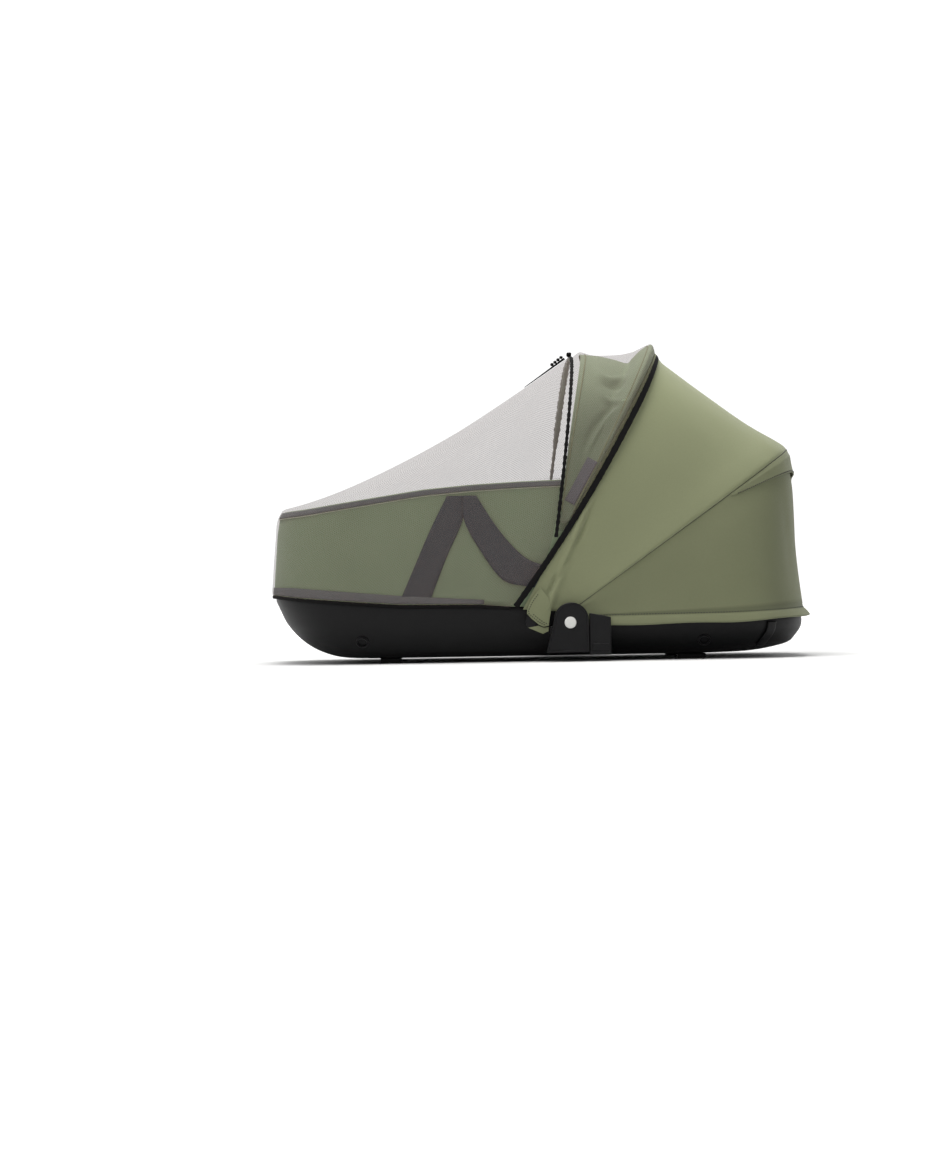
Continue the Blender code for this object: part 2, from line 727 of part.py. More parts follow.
def build_net(finishes: dict, parent, canopy):
    """The two mesh panels and their bindings."""
    fine = even(240)
    seam = resample(arch_line(SEAM_ARCH, SEAM_ARCH.base_z - SEAM_FOOT_DROP), fine)
    seam_out = arch_normals(seam, 0.0)
    rear = resample(arch_line(BINDING_ARCH, BINDING_ARCH.base_z), fine)
    rear_out = arch_normals(rear, REAR_LEAN)
    rear = rear + rear_out * (HOOD_THICK / 2 + GAP + REAR_BINDING[1] / 2)
    rear = seated(rear, rear_out, canopy, GAP + REAR_BINDING[1] / 2 + TRIM_CLEARANCE)

    room = SEAM_BINDING[0] / 2 + SEAM_GAP
    ahead = beside(seam, seam_out, room)
    grid = net_front_grid(ahead[ahead[:, 2] >= SEAM_TOP_Z])
    sheet("net_front", grid, NET_THICK, finishes["mesh"], parent)

    shares = even(HOOD_COLUMNS)
    behind = beside(seam, seam_out, -room)
    before = beside(rear, rear_out, REAR_BINDING[0] / 2 + SEAM_GAP)
    first = resample(behind[behind[:, 2] >= PANEL_START_Z], shares)
    last = resample(before[before[:, 2] >= PANEL_START_Z], shares)
    panel = across_panel(first, last, NET_PANEL_ROWS)
    sheet("net_hood_panel", panel, NET_THICK, finishes["mesh"], parent)

    black = finishes["binding"]
    for name, line, out, size, count in (
        ("net_seam_binding", seam, seam_out, SEAM_BINDING, 40),
        ("net_rear_binding", rear, rear_out, REAR_BINDING, 48),
    ):
        line, out = resample(line, even(count)), resample_like(line, out, count)
        sweep(name, line, out, size, 6, black, parent)

    hem = grid[0] - plan_normals(grid[0]) * HEM_TUCK
    hem[:, 2] -= HEM_BINDING[0] / 2
    hem = hem[hem[:, 0] < rear[0, 0] - REAR_BINDING[0] / 2 - HEM_STOP]
    hem = resample(hem, even(52))
    sweep("net_hem_binding", hem, plan_normals(hem), HEM_BINDING, 6, black, parent)
    build_crown_trim(grid, finishes, parent)


def resample_like(line, values, count: int):
    """Values that belong to a line's points, at even steps along the line."""
    steps = np.linalg.norm(np.diff(line, axis=0), axis=1)
    along = np.concatenate([[0.0], np.cumsum(steps)])
    at = even(count) * along[-1]
    found = np.stack([np.interp(at, along, values[:, k]) for k in range(3)], axis=1)
    return found / np.linalg.norm(found, axis=1, keepdims=True)


def arch_normals(line, lean: float = 0.0):
    """Outward normals of an arch's band: away from its middle, leaning to the rear."""
    tangent = np.gradient(line, axis=0)
    tangent /= np.linalg.norm(tangent, axis=1, keepdims=True)
    forward = np.array([1.0, 0.0, 0.0]) - tangent * tangent[:, :1]
    normal = np.cross(tangent, forward)
    normal /= np.linalg.norm(normal, axis=1, keepdims=True)
    away = (line - np.array([0.0, 0.0, 0.1])) * normal
    normal *= np.sign(away.sum(axis=1))[:, None]
    top = crown_weights(len(line), 0.26, 0.44)[:, None]
    normal = normal + lean * top * np.array([1.0, 0.0, 0.0])
    return normal / np.linalg.norm(normal, axis=1, keepdims=True)


def plan_normals(line):
    """Outward normals of a line that runs round the carrycot."""
    tangent = np.gradient(line, axis=0)
    normal = np.stack([tangent[:, 1], -tangent[:, 0], 0 * tangent[:, 0]], axis=1)
    normal /= np.linalg.norm(normal, axis=1, keepdims=True)
    middle = line * np.array([1.0, 1.0, 0.0]) * normal
    return normal * np.sign(middle.sum(axis=1))[:, None]


def build_crown_trim(grid, finishes: dict, parent):
    """The knot on the seam's crown, the beaded pull and the tapered tape on the ridge."""
    centre = grid.shape[1] // 2
    ridge = grid[:, centre][::-1]
    fine = resample(ridge[: len(NET_TOP_ROWS)], even(120))
    along = np.concatenate([[0.0], np.cumsum(np.linalg.norm(np.diff(fine, axis=0), axis=1))])
    up = np.array(RIDGE_UP)

    tape = fine[(along > TAPE_START) & (along < TAPE_START + TAPE_LENGTH)]
    taper = np.linspace(1.0, TAPE_TIP, len(tape))
    base = NET_THICK / 2 + GAP + TRIM_CLEARANCE
    tape = resample(tape, even(10))
    taper = np.interp(even(10), even(len(taper) - 1), taper)
    tape = tape + up * (base + TAPE_THICK / 2 * taper)[:, None]
    size = (TAPE_WIDTH, TAPE_THICK)
    sweep("ridge_tape", tape, np.tile(up, (11, 1)), size, 6, finishes["binding"], parent, taper)

    shape = bmesh.new()
    bmesh.ops.create_icosphere(shape, subdivisions=2, radius=0.5)
    mesh = bpy.data.meshes.new("seam_knot")
    shape.to_mesh(mesh)
    shape.free()
    knot = place("seam_knot", mesh, finishes["binding"], parent)
    knot.scale = KNOT_SIZE
    top = SEAM_ARCH.crown_z + SEAM_BINDING[1] / 2 + GAP + KNOT_SIZE[2] / 2
    knot.location = (SEAM_ARCH.crown_x - KNOT_SET_BACK, 0.0, top)

    pull = fine[(along > PULL_START) & (along < PULL_START + PULL_LENGTH)]
    count = PULL_BEADS * 6
    pull = resample(pull, even(count))
    phase = even(count) * PULL_BEADS * 2 * math.pi
    scale = (PULL_RADIUS + (BEAD_RADIUS - PULL_RADIUS) * (0.5 - 0.5 * np.cos(phase))) * 2
    height = base + TAPE_THICK * np.linspace(1.0, 0.65, count + 1) + GAP + BEAD_RADIUS
    pull = pull + up * height[:, None]
    sweep(
        "seam_pull", pull, np.tile(up, (count + 1, 1)), (1.0, 1.0), 6,
        finishes["binding"], parent, scale,
    )


def bow_ridge(grid, normal):
    """How far the hood's front bow pushes the cloth out, low on each side."""
    heights = grid[:, :, 2]
    share = (heights - BOW_LINE.base_z) / (BOW_LINE.crown_z - BOW_LINE.base_z)
    bow_x = BOW_LINE.base_x + (BOW_LINE.crown_x - BOW_LINE.base_x) * share
    bow_x += 4 * BOW_LINE.bulge * share * (1 - share)
    away = (grid[:, :, 0] - bow_x) / BOW_RIDGE_WIDTH
    fade = smooth((0.255 - heights) / 0.06)
    return normal * (BOW_RIDGE * np.exp(-(away**2)) * fade)[:, :, None]


def hem_line(hem: Hem):
    """A U in plan round the head end at the hood's hem."""
    flat = u_line(-hem.start_x, -hem.head_x, hem.half_width, HEAD_CORNER - 0.005)
    flat[:, 0] *= -1
    reach = np.clip((flat[:, 0] - hem.start_x) / (hem.head_x - hem.start_x), 0.0, 1.0)
    flat[:, 2] = hem.side_z + (hem.end_z - hem.side_z) * reach**3
    return flat


def build_hood(finishes: dict, parent):
    """The visor, the canopy, the rear panel with its flared hem and its flap.

    Returns the search tree of the canopy, on which the net's rear binding is seated.
    """
    shares = even(HOOD_COLUMNS)
    front = arch_line(VISOR_ARCH, PANEL_START_Z)
    back = arch_line(HOOD_FRONT_ARCH, PANEL_START_Z, -3 * SEAM_GAP)
    visor = across_panel(resample(front, shares), resample(back, shares), VISOR_ROWS)
    cloth = sheet("hood_visor", visor, VISOR_THICK, finishes["hood"], parent)
    build_label(cloth, finishes, parent)

    first = resample(arch_line(HOOD_FRONT_ARCH, HOOD_FRONT_ARCH.base_z), shares)
    last = resample(arch_line(HOOD_SEAM_ARCH, HOOD_SEAM_ARCH.base_z), shares)
    rear_top = resample(arch_line(HOOD_SEAM_ARCH, HOOD_SEAM_ARCH.base_z, SEAM_GAP), shares)
    canopy = across_panel(first, last, CANOPY_ROWS)
    canopy = canopy + bow_ridge(canopy, outward(canopy))
    cloth = sheet("hood_canopy", canopy, HOOD_THICK, finishes["hood"], parent)

    stitch = resample(hem_line(STITCH_LINE), shares)
    edge = resample(hem_line(SKIRT_EDGE), shares)
    rear = rear_panel(rear_top, stitch)
    rear = np.concatenate([rear, [(stitch + edge) / 2, edge]])
    sheet("hood_rear", rear, HOOD_THICK, finishes["hood"], parent)

    build_flap(finishes, parent)
    for side, word in ((-1.0, "near"), (1.0, "far")):
        name = f"hood_corner_{word}"
        prism(name, CORNER_OUTLINE, CORNER_Y, CORNER_Y + CORNER_THICK, finishes["hood"], parent, side)
    return tree_of(cloth)


def rear_panel(top, bottom):
    """The rear panel between the rear seam and the stitch line."""
    middle = np.array([0.12, 0.0, 0.10])
    out = (top + bottom) / 2 - middle
    out[:, 2] = 0.0
    out /= np.linalg.norm(out, axis=1, keepdims=True)
    crown = crown_weights(len(top))
    grid = []
    for row in REAR_ROWS:
        lift = row.side + (row.crown - row.side) * crown
        grid.append(top + (bottom - top) * row.share + out * lift[:, None])
    return np.array(grid)


def build_flap(finishes: dict, parent):
    """The flap that hangs over the rear panel behind the seam."""
    shares = FLAP_START + (1 - 2 * FLAP_START) * even(20)
    top = resample(arch_line(HOOD_SEAM_ARCH, HOOD_SEAM_ARCH.base_z), shares)
    bottom = resample(hem_line(STITCH_LINE), shares)
    out = (top + bottom) / 2 - np.array([0.12, 0.0, 0.10])
    out[:, 2] = 0.0
    out /= np.linalg.norm(out, axis=1, keepdims=True)
    centred = 1 - np.abs(2 * even(20) - 1)
    depth = FLAP_SIDE_DEPTH + (FLAP_DEPTH - FLAP_SIDE_DEPTH) * centred**FLAP_CURVE
    grid = []
    for share in (0.0, 0.25, 0.5, 0.75, 1.0):
        lift = FLAP_LIFT + (FLAP_FLARE * share**3 + FLAP_CROWN_LIFT) * centred
        at = (FLAP_TOP_SHARE + depth * share)[:, None]
        grid.append(top + (bottom - top) * at + out * lift[:, None])
    sheet("rear_flap", np.array(grid), VISOR_THICK, finishes["hood"], parent)


def build_label(visor, finishes: dict, parent):
    """The bare patch on the near side of the visor."""
    tree = tree_of(visor)
    along = np.array([LABEL_END.x - LABEL_START.x, LABEL_END.z - LABEL_START.z])
    across = np.array([along[1], -along[0]]) / np.linalg.norm(along)
    grid = []
    for side in (-0.5, 0.0, 0.5):
        row = []
        for share in even(5):
            at = np.array(LABEL_START) + along * share + across * LABEL_WIDTH * side
            point, normal = hit_on(tree, (at[0], -0.30, at[1]), (0.0, 1.0, 0.0))
            row.append(point + normal * (GAP + LABEL_THICK / 2 + LABEL_CLEARANCE))
        grid.append(row)
    sheet("label_patch", np.array(grid), LABEL_THICK, finishes["grey"], parent)


def wall_ring(offset: float, z_of):
    """A ring on the tub wall, drawn in by an offset; the foot end leans with its height."""
    foot = wall_x(float(z_of(TUB_FOOT_X))) + offset
    return plan_ring(Level(0.0, foot, TUB_HEAD_X - offset, TUB_HALF_WIDTH - offset), z_of)


def rim(drop: float):
    """The line at a depth below the rim."""
    return lambda x: line_z(RIM_LINE, x) - drop


def lip(lift: float):
    """The line at a height over the lip of the base."""
    return lambda x: line_z(HEM_LINE, x) + LIP.z + lift


def low_band(drop: float):
    """The line at a depth below the top of the lower band."""
    return lambda x: line_z(LOWER_BAND_TOP, x) - drop


def build_tub(finishes: dict, parent):
    """The hollow tub wall, its grey bands and the webbing straps."""
    seat = LIP_WALL + 3 * SEAM_GAP
    rings = [plan_ring(level) for level in LINER_LEVELS]
    inner_lip = LIP._replace(
        foot_x=LIP.foot_x + seat, head_x=LIP.head_x - seat, half_width=LIP.half_width - seat
    )
    rings += [
        plan_ring(inner_lip, lip(SEAM_GAP)),
        wall_ring(0.0, lip(SEAM_GAP)),
        wall_ring(0.0, low_band(LOWER_BAND_HEIGHT)),
        wall_ring(0.0, low_band(0.0)),
        wall_ring(0.0, rim(RIM_BAND_HEIGHT)),
        wall_ring(0.0, rim(0.0020)),
        wall_ring(0.0020, rim(0.0)),
        wall_ring(WALL_THICK - 0.0020, rim(0.0)),
        wall_ring(WALL_THICK, rim(0.0020)),
    ]
    rings += [plan_ring(level) for level in INNER_LEVELS]
    ring_body("tub_wall", rings, finishes["tub"], parent)

    outer = -(GAP + WEBBING_THICK)
    band = [
        wall_ring(-GAP, rim(RIM_BAND_HEIGHT)),
        wall_ring(outer, rim(RIM_BAND_HEIGHT)),
        wall_ring(outer, rim(0.0020)),
        wall_ring(-GAP, rim(0.0020)),
    ]
    ring_body("rim_band", band, finishes["webbing"], parent, loop=True)

    grid = []
    for drop in (0.0, LOWER_BAND_HEIGHT):
        ring = wall_ring(-(GAP + WEBBING_THICK / 2), low_band(drop))
        end = np.array([LOWER_BAND_TOP[-1].x, 0.0, LOWER_BAND_TOP[-1].z - drop])
        out = np.array([0.0, TUB_HALF_WIDTH + GAP + WEBBING_THICK / 2, 0.0])
        grid.append(np.vstack([end + out, ring[ring[:, 0] < end[0] - 0.01], end - out]))
    grid = np.array(grid)
    sheet("lower_band", grid, WEBBING_THICK, finishes["webbing"], parent)

    for side, word in ((-1.0, "near"), (1.0, "far")):
        inner_y = TUB_HALF_WIDTH + GAP
        prism(
            f"carry_strap_{word}", STRAP_OUTLINE, inner_y, inner_y + WEBBING_THICK,
            finishes["webbing"], parent, side,
        )


def build_base(finishes: dict, parent):
    """The moulded base: a tray with a lip, on four feet, with its marks and clips."""
    rings = [plan_ring(level) for level in BASE_LEVELS]
    rings.append(plan_ring(LIP, lip(-LIP_SIDE_DROP)))
    rings.append(plan_ring(LIP, lip(0.0)))
    inner = LIP._replace(
        foot_x=LIP.foot_x + LIP_WALL, head_x=LIP.head_x - LIP_WALL,
        half_width=LIP.half_width - LIP_WALL,
    )
    rings.append(plan_ring(inner, lip(0.0)))
    for level in reversed(LINER_LEVELS):
        wider = level._replace(
            z=level.z - SEAM_GAP, foot_x=level.foot_x - SEAM_GAP,
            head_x=level.head_x + SEAM_GAP, half_width=level.half_width + SEAM_GAP,
        )
        rings.append(plan_ring(wider))
    shell = ring_body("base_shell", rings, finishes["base"], parent)
    tree = tree_of(shell)

    for side, word in ((-1.0, "near"), (1.0, "far")):
        for place_x, width in FOOT_PLACES:
            outline = box_outline(place_x - width / 2, place_x + width / 2, 0.0, FOOT_HEIGHT)
            end = "foot_end" if place_x < 0 else "head_end"
            prism(
                f"foot_{end}_{word}", outline, FOOT_Y - FOOT_DEPTH / 2, FOOT_Y + FOOT_DEPTH / 2,
                finishes["rubber"], parent, side,
            )
        for centre in RING_PLACES:
            end = "foot_end" if centre[0] < 0 else "head_end"
            aim = (0.0, -side, 0.0)
            point, normal = hit_on(tree, (centre[0], side * 0.30, centre[1]), aim)
            lay_ring(f"base_ring_{end}_{word}", point, normal, finishes["base"], parent)
        line, out = [], []
        for spot in CLIP_LINE:
            aim = (-0.45, -side, 0.0)
            point, normal = hit_on(tree, (spot.x + 0.09, side * 0.34, spot.z), aim)
            line.append(point + normal * (GAP + CLIP_SIZE[1] / 2 + CLIP_CLEARANCE))
            out.append(normal)
        line, out = resample(line, even(5)), resample_like(np.array(line), np.array(out), 5)
        sweep(f"base_clip_{word}", line, out, CLIP_SIZE, 8, finishes["base"], parent)
        build_hinge(word, side, finishes, parent)


def lay_ring(name: str, centre, normal, finish, parent):
    """A moulded ring that lies on a sloping wall."""
    ahead = np.array([1.0, 0.0, 0.0]) - normal * normal[0]
    ahead /= np.linalg.norm(ahead)
    up = np.cross(ahead, normal)
    rings = []
    lift = GAP + 0.0006
    for reach, height in (
        (RING_RADIUS, lift), (RING_RADIUS, lift + RING_THICK),
        (RING_HOLE, lift + RING_THICK), (RING_HOLE, lift),
    ):
        turns = [2 * math.pi * k / 14 for k in range(14)]
        ring = [ahead * math.cos(t) + up * math.sin(t) for t in turns]
        rings.append(centre + normal * height + np.array(ring) * reach)
    ring_body(name, rings, finish, parent, loop=True)


def build_hinge(word: str, side: float, finishes: dict, parent):
    """The hood's hinge: an arched plate, its cap, the block behind it and its bracket."""
    radius = (HINGE_RIGHT_X - HINGE_LEFT_X) / 2
    centre_x = (HINGE_RIGHT_X + HINGE_LEFT_X) / 2
    shoulder_z = HINGE_TOP_Z - radius
    outline = [(HINGE_LEFT_X, HINGE_FOOT_Z), (HINGE_RIGHT_X, HINGE_FOOT_Z)]
    for step in range(13):
        turn = math.pi * step / 12
        outline.append((centre_x + radius * math.cos(turn), shoulder_z + radius * math.sin(turn)))
    prism(
        f"hinge_plate_{word}", outline, HINGE_INNER_Y, HINGE_OUTER_Y, finishes["base"], parent, side
    )
    depths = (HINGE_OUTER_Y + GAP, HINGE_OUTER_Y + GAP + CAP_THICK)
    disc(f"hinge_cap_{word}", CAP_CENTRE, CAP_RADIUS, depths, finishes["cap"], parent, side)
    prism(
        f"hinge_block_{word}", box_outline(*BLOCK_BOX), HINGE_INNER_Y, BLOCK_OUTER_Y,
        finishes["base"], parent, side,
    )
    prism(
        f"hinge_bracket_{word}", box_outline(*BRACKET_BOX), BRACKET_INNER_Y,
        HINGE_INNER_Y - GAP, finishes["base"], parent, side,
    )


def finishes_of() -> dict:
    """The colours of the net and the carrycot."""
    return {
        "mesh": material("net_mesh", (0.30, 0.285, 0.275), 0.8),
        "binding": material("black_binding", (0.012, 0.012, 0.013), 0.75),
        "hood": material("green_hood_cloth", (0.235, 0.255, 0.165), 0.85),
        "tub": material("green_tub_cloth", (0.225, 0.245, 0.160), 0.88),
        "webbing": material("grey_webbing", (0.060, 0.058, 0.058), 0.85),
        "grey": material("grey_label", (0.110, 0.100, 0.100), 0.8),
        "base": material("black_base_plastic", (0.015, 0.015, 0.016), 0.5),
        "rubber": material("black_foot_rubber", (0.012, 0.012, 0.012), 0.8),
        "cap": material("white_cap", (0.80, 0.80, 0.78), 0.4),
    }


def main() -> None:
    """Builds the carrycot and the net over it."""
    clear_scene()
    origin = bpy.data.objects.new("carrycot_with_net", None)
    bpy.context.scene.collection.objects.link(origin)
    finishes = finishes_of()
    build_base(finishes, origin)
    build_tub(finishes, origin)
    canopy = build_hood(finishes, origin)
    build_net(finishes, origin, canopy)


main()
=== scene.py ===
"""The looks of a stroller mosquito net fitted over a hooded carrycot.

Everything is in metres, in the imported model's frame: +X to the head end, -Y the near side and
+Z up. Each class below makes one sub-assembly and dresses it with its own finishes.
"""

from __future__ import annotations

import logging
import math
from dataclasses import dataclass
from enum import Enum
from typing import NamedTuple, Sequence

import bmesh
import bpy
import numpy as np
from mathutils import Matrix, Vector
from mathutils.bvhtree import BVHTree


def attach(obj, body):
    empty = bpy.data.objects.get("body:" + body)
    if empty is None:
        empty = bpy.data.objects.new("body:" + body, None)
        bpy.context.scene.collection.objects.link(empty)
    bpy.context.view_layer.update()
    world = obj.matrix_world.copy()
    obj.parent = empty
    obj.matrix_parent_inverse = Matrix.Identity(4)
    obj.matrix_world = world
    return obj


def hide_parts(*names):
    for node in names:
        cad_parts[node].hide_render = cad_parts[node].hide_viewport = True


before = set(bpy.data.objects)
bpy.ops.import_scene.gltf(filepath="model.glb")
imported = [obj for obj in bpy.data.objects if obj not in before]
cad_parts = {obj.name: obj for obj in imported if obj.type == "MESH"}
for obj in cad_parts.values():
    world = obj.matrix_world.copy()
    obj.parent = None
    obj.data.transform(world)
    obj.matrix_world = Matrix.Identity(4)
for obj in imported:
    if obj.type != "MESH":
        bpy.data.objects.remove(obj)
LOG = logging.getLogger("carrycot_with_net")
BODY = "root"
GAP = 0.0003
UP = np.array([0.0, 0.0, 1.0])


class Side(Enum):
    """A side of the carrycot, with the sign of its y."""

    NEAR = -1.0
    FAR = 1.0

    @property
    def word(self) -> str:
        """The side's word in the nodes' names."""
        return self.name.lower()


class Spot(NamedTuple):
    """A place in the side view."""

    x: float
    z: float


class Knot(NamedTuple):
    """One row of a line that is read by x."""

    x: float
    z: float


class Level(NamedTuple):
    """A level of the tub or the moulded base."""

    z: float
    foot_x: float
    head_x: float
    half_width: float


class Arch(NamedTuple):
    """An arch over the carrycot: its foot, its crown, and how square its shoulders are."""

    base_x: float
    base_z: float
    crown_x: float
    crown_z: float
    bulge: float
    half_width: float
    squareness: float


class Row(NamedTuple):
    """One row of a panel: its share of the way across, and its lift at crown and side."""

    share: float
    crown: float
    side: float


class Crease(NamedTuple):
    """A soft fold on one side: its route in the side view, its depth and its half width."""

    route: tuple[tuple[float, float], ...]
    depth: float
    width: float
    side: Side = Side.NEAR


# Shared measures of the tub and the lines that the net follows
TUB_HALF_WIDTH = 0.1830
TUB_HEAD_X = 0.3520
TUB_FOOT_X = -0.3870
FOOT_LEAN = 0.075
LEAN_FROM_Z = 0.1136
FOOT_ROUND_Z = 0.196
FOOT_ROUND = 16.0
FOOT_CORNER = 0.110
HEAD_CORNER = 0.130
END_BOW = 0.006
HEM_LINE = (
    Knot(x=-0.392, z=0.1000),
    Knot(x=-0.350, z=0.0950),
    Knot(x=-0.292, z=0.0902),
    Knot(x=-0.208, z=0.0838),
    Knot(x=-0.096, z=0.0824),
    Knot(x=-0.050, z=0.0790),
    Knot(x=0.360, z=0.0740),
)
RIM_LINE = (
    Knot(x=-0.385, z=0.2160),
    Knot(x=-0.340, z=0.2200),
    Knot(x=-0.242, z=0.2347),
    Knot(x=-0.175, z=0.2448),
    Knot(x=-0.107, z=0.2507),
    Knot(x=-0.040, z=0.2541),
    Knot(x=0.050, z=0.2570),
    Knot(x=0.090, z=0.2480),
    Knot(x=0.180, z=0.2150),
    Knot(x=0.260, z=0.1880),
    Knot(x=0.356, z=0.1800),
)
LOWER_BAND_TOP = (
    Knot(x=-0.392, z=0.1100),
    Knot(x=-0.360, z=0.1093),
    Knot(x=-0.208, z=0.0958),
    Knot(x=-0.124, z=0.0905),
    Knot(x=-0.090, z=0.0885),
)
SEAM_ARCH = Arch(0.0125, 0.176, 0.0455, 0.4360, 0.0005, 0.1970, 2.5)
VISOR_ARCH = Arch(0.0162, 0.175, 0.0600, 0.4395, -0.0040, 0.1932, 2.5)
BINDING_ARCH = Arch(-0.0460, 0.078, 0.1695, 0.4335, 0.0115, 0.194, 3.5)
HOOD_FRONT_ARCH = Arch(-0.0360, 0.074, 0.1665, 0.4385, 0.0, 0.194, 3.5)
HOOD_SEAM_ARCH = Arch(0.0300, 0.070, 0.3500, 0.2965, 0.0, 0.194, 5.0)
BOW_LINE = Arch(0.0040, 0.086, 0.1595, 0.4465, -0.0060, 0.194, 3.5)
PANEL_START_Z = 0.195
SEAM_TOP_Z = 0.330


class Channel:
    """A shader socket whose maths is written with Python's operators."""

    def __init__(self, graph: "Graph", socket: bpy.types.NodeSocket) -> None:
        """Wraps a socket of a graph."""
        self.graph = graph
        self.socket = socket

    def _join(self, operation: str, other: "Channel | float", swap: bool = False) -> "Channel":
        """Adds a Math node.

        Args:
            operation: the node's operation.
            other: the other operand.
            swap: whether the other operand comes first.

        Returns:
            The node's result.
        """
        pair = (other, self) if swap else (self, other)
        settings = {"operation": operation}
        return self.graph.node("ShaderNodeMath", settings, {0: pair[0], 1: pair[1]})

    def __add__(self, other: "Channel | float") -> "Channel":
        """Adds."""
        return self._join("ADD", other)

    def __radd__(self, other: float) -> "Channel":
        """Adds, reflected."""
        return self._join("ADD", other, swap=True)

    def __sub__(self, other: "Channel | float") -> "Channel":
        """Subtracts."""
        return self._join("SUBTRACT", other)

    def __rsub__(self, other: float) -> "Channel":
        """Subtracts, reflected."""
        return self._join("SUBTRACT", other, swap=True)

    def __mul__(self, other: "Channel | float") -> "Channel":
        """Multiplies."""
        return self._join("MULTIPLY", other)

    def __rmul__(self, other: float) -> "Channel":
        """Multiplies, reflected."""
        return self._join("MULTIPLY", other, swap=True)

    def __truediv__(self, other: "Channel | float") -> "Channel":
        """Divides."""
        return self._join("DIVIDE", other)

    def __rtruediv__(self, other: float) -> "Channel":
        """Divides, reflected."""
        return self._join("DIVIDE", other, swap=True)

    def wave(self, pitch: float) -> "Channel":
        """A sine of this value that repeats each pitch."""
        turned = self * (2 * math.pi / pitch)
        return self.graph.node("ShaderNodeMath", {"operation": "SINE"}, {0: turned})

    def held(self, low: float = 0.0, high: float = 1.0) -> "Channel":
        """This value held between two limits."""
        return self.graph.node("ShaderNodeClamp", {}, {"Value": self, "Min": low, "Max": high})


class Graph:
    """The node tree of one material."""

    def __init__(self, name: str) -> None:
        """Makes an empty material with its shader."""
        self.material = bpy.data.materials.new(name)
        self.material.use_nodes = True
        self.tree = self.material.node_tree
        self.shader = self.tree.nodes["Principled BSDF"]

    def node(
        self, kind: str, settings: dict[str, object], feeds: dict, output: int | str = 0
    ) -> Channel:
        """Adds a node.

        Args:
            kind: the node's type.
            settings: its properties, set first; stops sets a colour ramp.
            feeds: the values or links of its sockets.
            output: which output to give back.

        Returns:
            The output.
        """
        made = self.tree.nodes.new(kind)
        for key, value in settings.items():
            if key == "stops":
                self._set_stops(made.color_ramp, value)
            else:
                setattr(made, key, value)
        for key, value in feeds.items():
            self.feed(made.inputs[key], value)
        return Channel(self, made.outputs[output])

    @staticmethod
    def _set_stops(ramp: bpy.types.ColorRamp, stops: Sequence[tuple]) -> None:
        """Sets the stops of a ramp from pairs of place and colour."""
        while len(ramp.elements) < len(stops):
            ramp.elements.new(0.5)
        for element, (place, colour) in zip(ramp.elements, stops):
            element.position = place
            element.color = (*colour, 1.0)

    def feed(self, socket: bpy.types.NodeSocket, value: object) -> None:
        """Links a channel to a socket, or sets the socket's value."""
        if isinstance(value, Channel):
            self.tree.links.new(value.socket, socket)
        else:
            socket.default_value = value

    def surface(self, **sockets: object) -> None:
        """Feeds the shader's sockets, named with underscores for spaces."""
        for name, value in sockets.items():
            self.feed(self.shader.inputs[name.replace("_", " ")], value)

    def stored(self, name: str, output: str = "Fac") -> Channel:
        """A value that is stored on the mesh."""
        return self.node("ShaderNodeAttribute", {"attribute_name": name}, {}, output)

    def along_cloth(self) -> tuple[Channel, Channel]:
        """The two distances along the cloth, in metres."""
        vector = self.stored("cloth", "Vector")
        kind = "ShaderNodeSeparateXYZ"
        split = self.node(kind, {}, {0: vector}, 0)
        return split, Channel(self, split.socket.node.outputs[1])

    def noise(self, scale: float, detail: float = 2.0, stretch: tuple | None = None) -> Channel:
        """Cloudy noise in the object's own space."""
        place = self.node("ShaderNodeTexCoord", {}, {}, "Object")
        if stretch is not None:
            place = self.node("ShaderNodeVectorMath", {"operation": "MULTIPLY"}, {0: place, 1: stretch})
        feeds = {"Vector": place, "Scale": scale, "Detail": detail, "Roughness": 0.55}
        return self.node("ShaderNodeTexNoise", {}, feeds, 0)

    def blend(self, share: Channel | float, first: tuple | Channel, second: tuple | Channel) -> Channel:
        """A colour between two."""
        first, second = (end if isinstance(end, Channel) else (*end, 1.0) for end in (first, second))
        feeds = {0: share, 6: first, 7: second}
        return self.node("ShaderNodeMix", {"data_type": "RGBA"}, feeds, 2)

    def darkened(self, colour: Channel, share: Channel | float) -> Channel:
        """A colour multiplied by a share."""
        grey = self.node("ShaderNodeCombineColor", {}, {0: share, 1: share, 2: share})
        settings = {"data_type": "RGBA", "blend_type": "MULTIPLY"}
        return self.node("ShaderNodeMix", settings, {0: 1.0, 6: colour, 7: grey}, 2)

    def bump(self, height: Channel, strength: float, distance: float) -> Channel:
        """A bump's normal."""
        feeds = {"Height": height, "Strength": strength, "Distance": distance}
        return self.node("ShaderNodeBump", {}, feeds, 0)


@dataclass(frozen=True)
class HoodCloth:
    """A plain weave of fine yarn with a dry, matte face."""

    name: str
    pale: tuple[float, float, float]
    deep: tuple[float, float, float]
    pitch: float = 0.0011
    roughness: float = 0.86
    sheen: float = 0.12
    relief: float = 0.35

    def build(self) -> bpy.types.Material:
        """Returns the material, with its weave, slubs and soft fading, multiplied by the painted light and shade stored
        on each piece.
        """
        graph = Graph(self.name)
        along, across = graph.along_cloth()
        yarns = along.wave(self.pitch) * across.wave(self.pitch)
        slubs = graph.noise(420.0, 3.0)
        clouds = graph.noise(7.0, 2.0)
        tone = (clouds * 0.55 + slubs * 0.35 + yarns * 0.06 + 0.02).held()
        # Painted light and shade: the stored shade multiplies the cloth's colour.
        colour = graph.darkened(graph.blend(tone, self.deep, self.pale), graph.stored("shade"))
        height = yarns * 0.5 + slubs * 0.8
        graph.surface(
            Base_Color=colour,
            Roughness=self.roughness,
            Sheen_Weight=self.sheen,
            Sheen_Roughness=0.5,
            Specular_IOR_Level=0.25,
            Normal=graph.bump(height, self.relief, 0.0003),
        )
        return graph.material


